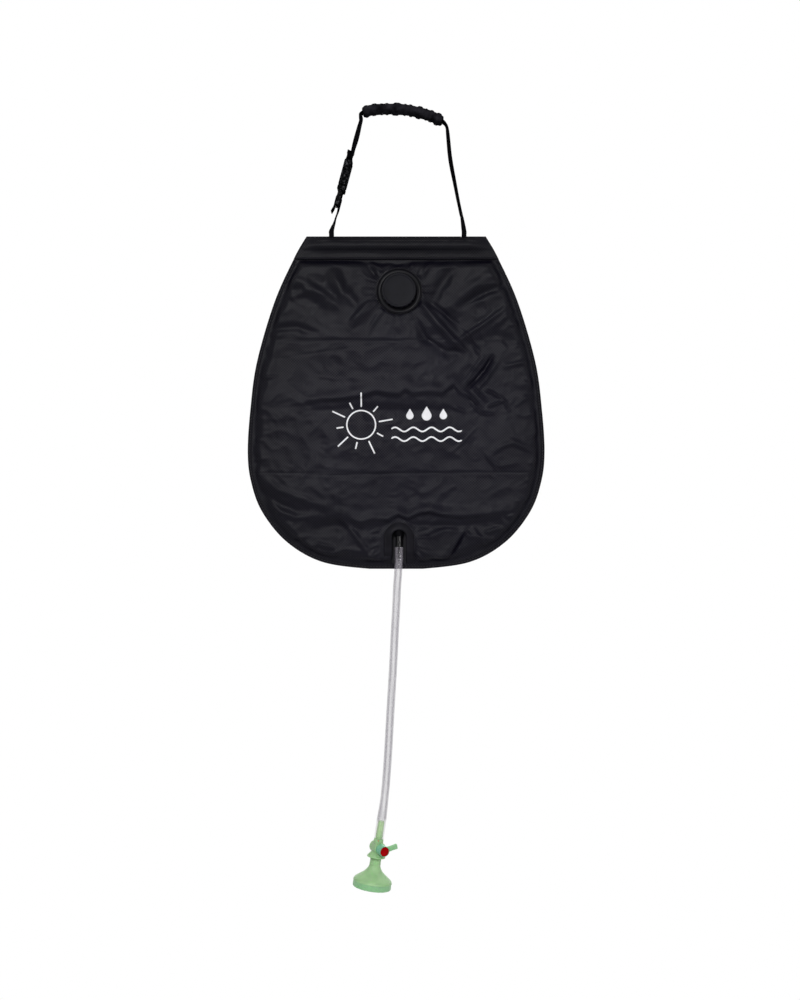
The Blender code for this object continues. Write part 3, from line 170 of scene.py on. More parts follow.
def face_out(obj):
    edit_mesh(obj.data, lambda tool: bmesh.ops.recalc_face_normals(tool, faces=tool.faces))
    obj.data.set_sharp_from_angle(angle=SHARP)


def joined(name, parts):
    tool = bmesh.new()
    for part in parts:
        tool.from_mesh(part.data)
        bpy.data.objects.remove(part)
    mesh = bpy.data.meshes.new(name)
    tool.to_mesh(mesh)
    tool.free()
    return add_object(name, mesh)


def grid_faces(rows, columns, wrap_rows=False, wrap_columns=True, skip=None):
    faces = []
    for r in range(rows if wrap_rows else rows - 1):
        here, below = r * columns, (r + 1) % rows * columns
        for c in range(columns if wrap_columns else columns - 1):
            beside = (c + 1) % columns
            if skip is None or not skip(r, c):
                faces.append((here + c, here + beside, below + beside, below + c))
    return faces


def end_faces(rows, columns):
    """The first and the last ring of a stack, each as one face."""
    return [tuple(range(columns))[::-1], tuple(range((rows - 1) * columns, rows * columns))]


def skin(name, rings, caps=True, wrap_rows=False):
    """A surface through rings of points; caps fills the first and the last ring."""
    rows, columns = len(rings), len(rings[0])
    faces = grid_faces(rows, columns, wrap_rows)
    if caps and not wrap_rows:
        faces += end_faces(rows, columns)
    obj = mesh_object(name, [p for ring in rings for p in ring], faces)
    face_out(obj)
    return obj


def angles(count):
    return [TURN * k / count for k in range(count)]


def polar(radius, angle, x=0.0, z=0.0):
    return x + radius * math.cos(angle), z + radius * math.sin(angle)


def squarish(value, power):
    """A sine or cosine whose curve bulges towards a square."""
    return math.copysign(abs(value) ** power, value)


def rounded(outline, radius, steps=3):
    """A closed outline with its corners turned into small arcs."""
    nearly_straight, most_of_side = math.pi - 0.12, 0.42
    found = []
    for i, here in enumerate(map(Vector, outline)):
        back = Vector(outline[i - 1]) - here
        on = Vector(outline[(i + 1) % len(outline)]) - here
        if back.angle(on, math.pi) > nearly_straight:
            found.append(tuple(here))
            continue
        reach = min(radius, back.length * most_of_side, on.length * most_of_side)
        start, end = here + back.normalized() * reach, here + on.normalized() * reach
        for k in range(steps + 1):
            t = k / steps
            found.append(tuple(start * (1 - t) ** 2 + here * (2 * t * (1 - t)) + end * t**2))
    return found


def in_mm(place):
    """The same place, for points given in millimetres."""
    return place @ Matrix.Scale(MM, 4)


def lathe(name, outline_mm, steps, place, radius_mm=0.35, shape=None):
    """A closed outline of (radius, height) in millimetres, turned about the place's own z.

    shape, if given, moves a point: (radius, height, angle) to a radius. An outline that
    comes within core_mm of the axis makes a solid, and any other makes a ring."""
    place, core_mm = in_mm(place), 0.3
    rings = []
    for r, h in rounded(outline_mm, radius_mm):
        if r > core_mm:
            reaches = [(shape(r, h, angle) if shape else r, angle) for angle in angles(steps)]
            rings.append([place @ Vector((*polar(reach, angle), h)) for reach, angle in reaches])
    solid = min(spot[0] for spot in outline_mm) < core_mm
    return skin(name, rings, caps=solid, wrap_rows=not solid)


def smooth_curve(points, steps):
    """Points read from a smooth curve through the given ones, the given ones among them."""
    table = [np.array(point, float) for point in points]
    padded = [2 * table[0] - table[1], *table, 2 * table[-1] - table[-2]]
    found = []
    for a, b, c, d in zip(padded, padded[1:], padded[2:], padded[3:]):
        for i in range(steps):
            t = i / steps
            bend = (2 * a - 5 * b + 4 * c - d) * t**2 + (3 * b - a - 3 * c + d) * t**3
            found.append((2 * b + (c - a) * t + bend) / 2)
    return [*found, table[-1]]


def lengths_along(line):
    """The length from a line's start to each of its points."""
    return np.concatenate([[0], np.cumsum(np.linalg.norm(np.diff(line, axis=0), axis=1))])


def even(points, spacing):
    """The same line, read at an even spacing."""
    table = np.array([tuple(p) for p in points], float)
    lengths = lengths_along(table)
    places = np.linspace(0, lengths[-1], max(2, round(lengths[-1] / spacing) + 1))
    return np.stack([np.interp(places, lengths, table[:, axis]) for axis in range(table.shape[1])], axis=1)


def tube_rings(line, radii, sides, wobble=None):
    """Rings of a round tube along points, with a radius for each point."""
    line = [Vector(p) for p in line]
    rings, normal = [], None
    for i, (here, radius) in enumerate(zip(line, radii)):
        run = (line[min(i + 1, len(line) - 1)] - line[max(i - 1, 0)]).normalized()
        if normal is None:
            normal = run.orthogonal().normalized()
        normal = (normal - run * normal.dot(run)).normalized()
        side = run.cross(normal)
        ring = []
        for angle in angles(sides):
            reach = radius * (wobble(i, angle) if wobble else 1)
            ring.append(here + (normal * math.cos(angle) + side * math.sin(angle)) * reach)
        rings.append(ring)
    return rings


def tapered(count, least, step):
    """Shares of a width along a line: less at both ends, growing by a step at each point, up to 1."""
    return [min(1.0, least + step * min(i, count - 1 - i)) for i in range(count)]


def smooth_step(low, high, value):
    t = np.clip((value - low) / (high - low), 0, 1)
    return t * t * (3 - 2 * t)


# Material tools
class Nodes:
    """The nodes of one shader tree."""

    def __init__(self, tree):
        self.tree = tree

    def feed(self, made, inputs):
        """Link or set a node's inputs, by name or number."""
        for key, value in inputs.items():
            if isinstance(value, bpy.types.NodeSocket):
                self.tree.links.new(value, made.inputs[key])
            else:
                made.inputs[key].default_value = value

    def add(self, kind, inputs, **settings):
        made = self.tree.nodes.new("ShaderNode" + kind)
        for key, value in settings.items():
            setattr(made, key, value)
        self.feed(made, inputs)
        return made

    def maths(self, operation, *values):
        return self.add("Math", dict(enumerate(values)), operation=operation).outputs[0]

    def mixed(self, share, first, second):
        """A colour between two given as red, green and blue."""
        return self.add("Mix", {0: share, 6: (*first, 1), 7: (*second, 1)}, data_type="RGBA").outputs[2]

    def ranged(self, value, start, end, low, high):
        return self.add("MapRange", {0: value, 1: start, 2: end, 3: low, 4: high}).outputs[0]

    def spread(self, value, low, high):
        """Noise, which mostly lies between 0.3 and 0.7, stretched over a range."""
        return self.ranged(value, 0.3, 0.7, low, high)

    def woven(self, across, along, pitch):
        """Raised threads crossing at right angles, from 0 to 1."""
        waves = [self.maths("SINE", self.maths("MULTIPLY", way, TURN / pitch)) for way in (across, along)]
        return self.maths("MULTIPLY_ADD", self.maths("MULTIPLY", *waves), 0.5, 0.5)

    def seen(self):
        """1 for what is seen, straight, in gloss or through clear plastic, and 0 for light on things."""
        path = self.add("LightPath", {}).outputs
        shown = self.maths("ADD", path["Is Camera Ray"], path["Is Glossy Ray"])
        return self.maths("ADD", shown, path["Is Transmission Ray"])


class Look(Nodes):
    """A material with its shader, in the object's own coordinates."""

    def __init__(self, name):
        self.material = bpy.data.materials.new(name)
        self.material.use_nodes = True
        super().__init__(self.material.node_tree)
        self.shader = self.tree.nodes["Principled BSDF"]
        self.coords = self.add("TexCoord", {}).outputs["Object"]

    def noise(self, scale, detail=3.0, roughness=0.5, coords=None):
        where = self.coords if coords is None else coords
        inputs = {"Vector": where, "Scale": scale, "Detail": detail, "Roughness": roughness}
        return self.add("TexNoise", inputs).outputs[0]

    def finish(self, colour, roughness, bump, specular, more=None):
        """Wire the shader up. bump is (height, strength, distance), and more holds any further inputs."""
        raised = self.add("Bump", dict(zip(("Height", "Strength", "Distance"), bump))).outputs[0]
        self.feed(self.shader, {"Base Color": colour, "Roughness": roughness, "Normal": raised})
        self.feed(self.shader, {"Specular IOR Level": specular, **(more or {})})
        return self.material


# Materials
def moulded(name, colour, roughness, shade, patch, grain, depth, specular=0.5, painted_glint_rarity=1.0):
    """Moulded plastic or rubber: patchy colour and gloss with a fine grain. The last argument makes light
    spots fewer; raised well above 1, it leaves few small light spots that are painted glints.
    """
    look = Look(name)
    patches = look.noise(patch)
    lit = look.maths("POWER", look.spread(patches, 0.0, 1.0), painted_glint_rarity)
    base = look.mixed(lit, [c * shade for c in colour], colour)
    rough = look.spread(patches, roughness - 0.05, roughness + 0.05)
    return look.finish(base, rough, (look.noise(grain, 4.0, 0.6), 0.5, depth), specular)


def coated_cloth(name, colour, dark, roughness, diamond, shine, creases=(), lit_centre=None):
    """Coated cloth: a fine square weave under a diagonal diamond figure, with patches of random tone and
    gloss.

    creases are (level, depth) of folds left from packing. The last argument is the centre of a painted shade:
    the cloth is painted darker with distance from it, where the bag turns away from the light towards its
    edges."""
    look = Look(name)
    maths = look.maths
    x, _, z = look.add("SeparateXYZ", {0: look.coords}).outputs
    figure = look.spread(look.woven(x, z, diamond), 0.0, 1.0)
    patches = look.noise(14.0, 4.0, 0.6)
    lit = maths("MULTIPLY_ADD", figure, 0.78, maths("MULTIPLY", patches, 0.40))
    # Painted shade: darker with distance from the centre, for the bag's edges turning away from the light
    if lit_centre:
        far = look.add("VectorMath", {0: look.coords, 1: lit_centre}, operation="DISTANCE").outputs["Value"]
        lit = maths("MULTIPLY", lit, look.ranged(far, 0.10, 0.24, 1.0, 0.45))
    rough = maths("MULTIPLY_ADD", figure, -0.10, look.spread(patches, roughness + 0.08, roughness))
    threads = maths("MULTIPLY_ADD", look.woven(x, z, 0.0009), 0.25, look.noise(220.0, 4.0, 0.65))
    height = maths("MULTIPLY_ADD", figure, 0.5, threads)
    wrinkles = maths("ABSOLUTE", maths("SUBTRACT", look.noise(42.0, 3.0, 0.55), 0.5))
    height = maths("MULTIPLY_ADD", wrinkles, -4.5, height)
    drift = maths("MULTIPLY_ADD", look.noise(9.0, 2.0), 0.004, z)
    crease_width = 0.0016
    for level, depth in creases:
        away = maths("ABSOLUTE", maths("SUBTRACT", drift, level + 0.002))
        dip = maths("SUBTRACT", 1.0, maths("MULTIPLY", away, 1 / crease_width))
        dip = maths("MULTIPLY", maths("MAXIMUM", dip, 0.0), look.spread(patches, 0.1, 1.0))
        height = maths("MULTIPLY_ADD", dip, -depth, height)
    gloss = maths("MULTIPLY_ADD", figure, 0.60 * shine, 0.66 * shine)
    return look.finish(look.mixed(lit, dark, colour), rough, (height, 0.6, 0.0004), gloss)


def strap_webbing(name):
    """Flat woven webbing: ribs across, chevron threads along, from the mesh's own lengths."""
    look = Look(name)
    maths = look.maths
    across, along, _ = look.add("SeparateXYZ", {0: look.add("UVMap", {}).outputs[0]}).outputs
    rib_pitch, chevron_pitch = 0.0016, 0.0026
    slant = maths("ADD", maths("ABSOLUTE", across), along)
    chevron = maths("SINE", maths("MULTIPLY", slant, TURN / chevron_pitch))
    height = maths("MULTIPLY_ADD", chevron, 0.25, look.woven(across, along, rib_pitch))
    patches = look.noise(90.0, 4.0)
    lit = maths("MULTIPLY_ADD", height, 0.5, maths("MULTIPLY", patches, 0.6))
    base = look.mixed(lit, (0.0006, 0.0006, 0.0009), (0.0085, 0.0082, 0.0100))
    return look.finish(base, look.spread(patches, 0.55, 0.75), (height, 0.7, 0.0003), 0.0)


def clear_tube(name):
    """Clear soft vinyl: denser towards its edges, with streaks, clearest where it is pressed on the tail."""
    look = Look(name)
    maths = look.maths
    stretched = look.add("Mapping", {0: look.coords, 3: (1.0, 1.0, 0.025)}).outputs[0]
    streaks = look.noise(300.0, 0.5, coords=stretched)
    base = look.mixed(look.spread(streaks, 0.0, 1.0), (0.30, 0.275, 0.320), (0.47, 0.445, 0.495))
    rough = look.spread(look.noise(40.0), 0.08, 0.17)
    edge = look.add("LayerWeight", {"Blend": 0.35}).outputs["Facing"]
    wall = maths("ADD", look.ranged(edge, 0.01, 0.13, 0.045, 0.20), look.spread(streaks, 0.0, 0.16))
    cover = maths("MULTIPLY_ADD", maths("POWER", edge, 2.0), 0.55, wall)
    level = look.add("SeparateXYZ", {0: look.coords}).outputs[2]
    pressed = look.ranged(level, TAIL_TOP_Z - 0.0013, TAIL_TOP_Z + 0.0027, 0.42, 1.0)
    alpha = maths("MULTIPLY", cover, pressed)
    return look.finish(base, rough, (streaks, 0.1, 0.0002), 0.65, {"Alpha": alpha})


def milky(name, colour, shade):
    """Slightly see-through moulded plastic with milky flow marks."""
    look = Look(name)
    flow = look.noise(75.0, 5.0, 0.6)
    base = look.mixed(look.spread(flow, 0.0, 1.0), shade, colour)
    height = look.maths("MULTIPLY_ADD", flow, 3.0, look.noise(1400.0, 4.0, 0.6))
    depth = {"Subsurface Weight": 0.35, "Subsurface Scale": 0.004, "Subsurface Radius": (0.6, 1.0, 0.5)}
    rough = look.spread(flow, 0.26, 0.40)
    return look.finish(base, rough, (height, 0.35, 0.00005), 0.22, depth)


def printed(name):
    """White screen print with a fine grain, slightly worn in patches."""
    look = Look(name)
    grain = look.noise(900.0, 5.0, 0.7)
    lit = look.maths("MULTIPLY_ADD", grain, 0.3, look.spread(look.noise(60.0), 0.6, 1.0))
    base = look.mixed(lit, (0.55, 0.55, 0.58), (0.86, 0.86, 0.88))
    return look.finish(base, look.spread(grain, 0.55, 0.7), (grain, 0.4, 0.0002), 0.25)


CLOTH = coated_cloth(
    "coated_cloth", (0.0080, 0.0072, 0.0145), (0.0001, 0.0001, 0.0008), 0.36, 0.0038, 0.098,
    PACKING_CREASES, CLOTH_LIT_CENTRE,
)
TAPE = coated_cloth("binding_tape", (0.0092, 0.0086, 0.0125), (0.0008, 0.0008, 0.0014), 0.46, 0.0016, 0.05)
SLEEVE_CLOTH = coated_cloth(
    "sleeve_cloth", (0.0055, 0.0052, 0.0085), (0.0002, 0.0002, 0.0007), 0.34, 0.0038, 0.08,
)
WEBBING = strap_webbing("black_webbing")
VINYL = clear_tube("clear_vinyl")
PRINT = printed("white_print")
# Name, colour, roughness, shade, patch and grain scales, grain depth, specular level, rarity of light spots,
# which gives painted glints where it is raised
THREAD = moulded("sewing_thread", (0.022, 0.022, 0.026), 0.6, 0.5, 900.0, 6000.0, 0.0001)
GRIP = moulded("grip_rubber", (0.0215, 0.0205, 0.0255), 0.58, 0.22, 120.0, 1600.0, 0.0006, 0.0)
RING = moulded("soft_black_ring", (0.0038, 0.0036, 0.0056), 0.34, 0.5, 70.0, 2200.0, 0.00006, 0.06)
CAP = moulded("cap_plastic", (0.0066, 0.0066, 0.0096), 0.38, 0.62, 55.0, 2600.0, 0.00006, 0.05)
RIM = moulded("outlet_rim", (0.0080, 0.0076, 0.0110), 0.38, 0.5, 90.0, 2200.0, 0.0001, 0.06)
GLOSS = moulded("gloss_black", (0.004, 0.004, 0.005), 0.13, 0.5, 80.0, 3000.0, 0.00002, 0.22)
# Matte black for the spout's collar, which is partly painted shade at the top of the outlet's recess
DARK = moulded("matte_black", (0.0035, 0.0033, 0.0045), 0.6, 0.5, 200.0, 2200.0, 0.00006, 0.02)
# The buckle has no specular level: its rare light flecks on the dark plastic are painted glints
BUCKLE = moulded("buckle_plastic", (0.1100, 0.1100, 0.1180), 0.30, 0.02, 300.0, 700.0, 0.0008, 0.0, painted_glint_rarity=5.0)
TUBE = moulded("tube_plastic", (0.012, 0.012, 0.014), 0.35, 0.6, 90.0, 2400.0, 0.00004)
SEAL = moulded("seal_rubber", (0.030, 0.030, 0.030), 0.6, 0.6, 90.0, 2400.0, 0.00008)
RED = moulded("red_plastic", (0.400, 0.001, 0.002), 0.34, 0.72, 160.0, 2200.0, 0.00006, 0.04)
DOT = moulded("orange_dot", (0.62, 0.085, 0.02), 0.4, 0.8, 300.0, 2200.0, 0.00005)
MINT = milky("mint_plastic", (0.400, 0.625, 0.325), (0.325, 0.560, 0.275))
MINT_RIM = milky("mint_rim", (0.325, 0.600, 0.315), (0.270, 0.545, 0.280))
MINT_LEVER = milky("mint_lever", (0.225, 0.570, 0.345), (0.180, 0.510, 0.315))
# A lighter copy of the mint for the tail inside the hose: painted light, for the light that reaches the tail
# through the clear hose
MINT_STUB_PAINTED_LIGHT = milky("mint_stub_painted_light", (0.640, 0.900, 0.480), (0.540, 0.830, 0.420))


def dress(obj, body, slot, material, *replaced):
    """Material, body, slot, which is not used, and the CAD nodes that the piece stands for."""
    obj.data.materials.clear()
    obj.data.materials.append(material)
    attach(obj, body)
    if replaced:
        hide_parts(*replaced)
    return obj


def paint_faces(obj, material, chosen):
    """A second material on the faces that are chosen by their centre in the shower head's place."""
    obj.data.materials.append(material)
    back = HEAD_PLACE.inverted()
    for face in obj.data.polygons:
        if chosen(back @ face.center):
            face.material_index = 1


def finish_node(name, material, width=0.0):
    """A CAD part keeps its shape and gets a finer material and, where asked, softened edges."""
    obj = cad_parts[name]
    obj.data.materials.clear()
    obj.data.materials.append(material)
    if width:
        made = obj.modifiers.new("softened_edges", "BEVEL")
        made.width, made.segments, made.limit_method = width, 2, "ANGLE"
        made.angle_limit = EDGE_ANGLE
        made.harden_normals = False
        obj.data.shade_smooth()
        obj.data.set_sharp_from_angle(angle=EDGE_ANGLE)


# Hose
HOSE_POINTS = (
    (0.0013, -0.00455, -0.58544), (0.0013, -0.00569, -0.59306), (0.0013, -0.00683, -0.60067),
    (0.0003, -0.0093, -0.6170), (-0.0012, -0.0118, -0.6390), (-0.0022, -0.0134, -0.6610),
    (-0.0034, -0.0142, -0.6830), (-0.0046, -0.0145, -0.7050), (-0.0056, -0.0145, -0.7270),
    (-0.0068, -0.0145, -0.7490), (-0.0081, -0.0145, -0.7710), (-0.0094, -0.0145, -0.7930),
    (-0.0107, -0.0145, -0.8150), (-0.0119, -0.0145, -0.8370), (-0.0131, -0.0145, -0.8590),
    (-0.0146, -0.0145, -0.8810), (-0.0163, -0.0145, -0.9030), (-0.0184, -0.0145, -0.9240),
    (-0.02219, -0.0145, -0.95166), (-0.02395, -0.0145, -0.96353), HOSE_FOOT,
)
# How much of the hose is pressed over the spout's barbs and over the valve's tail
SPOUT_GRIP, TAIL_GRIP = 0.0165, 0.0255


def add_hose():
    """A clear tube with a wall, stretched a little over the barbs at both ends and more on the tail."""
    line = [Vector(p) for p in smooth_curve(HOSE_POINTS, 4)]
    swell = []
    for point in line:
        above, below = (point - line[0]).length, (point - line[-1]).length
        on_barbs = 1 - float(smooth_step(0.85, 1.15, min(above / SPOUT_GRIP, below / TAIL_GRIP)))
        on_tail = 1 - float(smooth_step(0.024, 0.058, below))
        swell.append(0.00022 * on_barbs + 0.0009 * on_tail)
    outer, inner = (tube_rings(line, [radius + s for s in swell], 28) for radius in (HOSE_RADIUS, HOSE_BORE))
    obj = skin("hose_tube", outer + inner[::-1], wrap_rows=True)
    return dress(obj, "bag", "clear_vinyl", VINYL, "hose"), line


# Valve and shower head
def add_valve():
    """Barbed tail, collar, cross barrel with its stop slot, flared skirt and stub, in one moulding."""
    barbs = []
    for top, slim, wide in ((24.0, 3.9, 4.3), (16.0, 4.15, 4.65), (8.0, 4.5, 4.85)):
        barbs += [(slim, top), (wide, top - 4.8), (wide, top - 5.4), (wide - 0.25, top - 5.8)]
    outline = [
        (0.6, 24.0), *barbs, (3.9, -0.3), (6.3, -0.3), (6.5, -1.2), (6.3, -1.6), (6.5, -2.2), (6.6, -6.0),
        (7.6, -9.5), (7.4, -12.5), (7.0, -15.0), (7.0, -17.2), (8.2, -18.9), (12.1, -23.6), (12.4, -24.2),
        (12.3, -24.9), (9.0, -25.4), (5.2, -25.5), (5.2, -27.0), (5.6, -27.4), (5.2, -27.8), (5.2, -29.2),
        (5.6, -29.6), (5.2, -30.0), (5.2, -33.0), (2.0, -33.0), (2.0, 10.0), (0.6, 10.0),
    ]
    core = lathe("valve_core", outline, 64, HEAD_PLACE, 0.5)
    slot_turn, slot_half, slot_deep, slot_foot, slot_reach = 118, 24, 1.6, 6.2, 7.5

    def slotted(radius, height, angle):
        away = abs((math.degrees(angle) - slot_turn + 180) % 360 - 180)
        cut = away < slot_half and height > slot_foot and radius > slot_reach
        return radius - slot_deep if cut else radius

    outline = [
        (0.8, -9.5), (6.6, -9.5), (8.0, -8.6), (8.2, -7.4), (8.2, 6.1), (8.2, 6.4), (8.2, 8.5), (7.9, 9.0),
        (5.3, 9.0), (5.3, 7.0), (0.8, 7.0),
    ]
    barrel = lathe("valve_barrel", outline, 96, PLUG_PLACE, 0.4, slotted)
    housing = joined("valve_housing", [core, barrel])
    dress(housing, "bag", "mint_plastic", MINT, "valve_body")
    # The tail inside the hose gets the lighter copy of the mint: painted light
    paint_faces(housing, MINT_STUB_PAINTED_LIGHT, lambda spot: spot.z > 0)
    on_collar = Matrix.Translation((-0.0003, -0.0064, -0.0019))
    place = HEAD_PLACE @ on_collar @ Matrix.Rotation(QUARTER, 4, "X")
    dot = lathe("collar_dot", [(0.05, -0.3), (0.8, -0.3), (0.75, 0.25), (0.05, 0.4)], 20, place, 0.2)
    dress(dot, "bag", "red_plastic", DOT)
    return [housing, dot]


def add_key():
    """The turning boss with its lever and red cap."""
    outline = [
        (0.5, -6.6), (4.85, -6.6), (4.85, 5.0), (4.2, 5.2), (4.2, 5.9), (4.85, 6.1), (4.85, 9.3), (6.9, 9.3),
        (7.0, 9.8), (7.0, 21.5), (6.85, 22.0), (6.5, 22.0), (6.4, 21.1), (0.5, 21.0),
    ]
    boss = lathe("key_boss", outline, 72, PLUG_PLACE)
    dress(boss, "valve_plug", "mint_lever", MINT_LEVER, "valve_plug")
    turned = in_mm(PLUG_PLACE @ Matrix.Rotation(LEVER_TURN, 4, "Z"))
    # Along the lever from the boss's axis, half width and half depth, in millimetres
    stations = (
        (4.0, 2.6, 1.6), (5.5, 3.2, 2.0), (7.2, 3.5, 2.25), (9.0, 3.35, 2.2), (13.0, 3.25, 2.15),
        (17.5, 3.35, 2.15), (19.6, 3.45, 2.15), (20.3, 3.3, 2.0), (20.5, 2.8, 1.6),
    )
    middle_height, corner = 17.75, 0.42
    rings = []
    for along, half_width_mm, half_depth in stations:
        ring = []
        for angle in angles(28):
            y = half_width_mm * squarish(math.cos(angle), corner)
            z = middle_height + half_depth * squarish(math.sin(angle), corner)
            ring.append(turned @ Vector((along, y, z)))
        rings.append(ring)
    lever = skin("key_lever", rings)
    dress(lever, "valve_plug", "mint_lever", MINT_RIM, "valve_plug")
    outline = [(0.1, 21.2), (6.0, 21.2), (6.2, 21.5), (6.2, 22.0), (5.9, 22.35), (3.0, 22.5), (0.1, 22.5)]
    disc = lathe("red_cap", outline, 64, PLUG_PLACE, 0.25)
    dress(disc, "valve_plug", "red_plastic", RED, "indicator_disc")
    return [boss, lever, disc]


def add_head():
    """Neck, bell and rim, hollow and open below. The rose plate and the seals keep their solids."""
    bell = [(7.4, 36.0), (9.0, 40.2), (13.0, 45.4), (19.6, 50.6), (24.6, 54.6), (26.0, 57.0)]
    curve = [tuple(p) for p in smooth_curve(bell, 5)]
    outside = [(r, -u) for r, u in curve]
    inside = [(max(r - 1.9, 3.4), -u - 1.2) for r, u in curve[::-1]]
    outline = [
        (5.5, -25.8), (6.9, -25.8), (7.3, -26.1), (7.4, -29.0), (7.15, -29.3), (7.15, -29.8), (7.4, -30.1),
        (7.4, -33.8), (7.6, -34.2), (7.6, -34.8), (7.4, -35.2), *outside, (26.1, -57.8), (26.1, -58.3),
        (25.7, -58.6), (25.8, -62.0), (25.9, -65.0), (25.4, -66.0), (24.4, -66.0), (24.4, -62.6),
        (23.6, -62.6), *inside, (3.4, -34.7), (5.5, -34.7),
    ]
    shell = lathe("head_bell", outline, 96, HEAD_PLACE, 0.4)
    dress(shell, "head_shell", "mint_plastic", MINT, "head_shell")
    rim_reach, rim_top = 0.0235, -0.0578
    paint_faces(shell, MINT_RIM, lambda spot: math.hypot(spot.x, spot.y) > rim_reach and spot.z < rim_top)
    finish_node("rose_plate", MINT_RIM)
    for name in ("head_washer", "plug_oring", "cap_seal"):
        finish_node(name, SEAL)
    return [shell]


# Bag outline
RIM_CURVE = np.array([
    (share * BAG_WIDTH / 2, BAG_TOP_Z - min(depth, 1) * BAG_HEIGHT)
    for depth, share in (tuple(p) for p in smooth_curve(BAG_OUTLINE_SHARES, 16))
])


def half_width(z):
    return np.interp(-np.asarray(z, float), -RIM_CURVE[:, 1], RIM_CURVE[:, 0])


def outline_line(top_z, spacing):
    """The bag's outline below a level, from its right end round the bottom to its left end, evenly spaced."""
    right = [(float(half_width(top_z)), top_z)] + [tuple(p) for p in RIM_CURVE if p[1] < top_z and p[0] > 0]
    line = [(BAG_CENTRE_X + x, z) for x, z in right] + [(BAG_CENTRE_X - x, z) for x, z in right[::-1]]
    return even(line, spacing)


def sideways(line):
    """Directions square to an open line of points: to its right, so inward on the bag's outline."""
    run = np.gradient(line, axis=0)
    run /= np.linalg.norm(run, axis=1)[:, None]
    return np.stack([run[:, 1], -run[:, 0]], axis=1)


def distance_to(points, line):
    """Distance of each point from an open line."""
    best = np.full(len(points), 1e9)
    for a, b in zip(line, line[1:]):
        run = b - a
        t = np.clip(((points - a) @ run) / (run @ run), 0, 1)
        best = np.minimum(best, np.linalg.norm(points - a - t[:, None] * run, axis=1))
    return best


EDGE_RAW = outline_line(PANEL_TOP_Z, 0.002)
EDGE_LINE = EDGE_RAW + sideways(EDGE_RAW) * PANEL_INSET

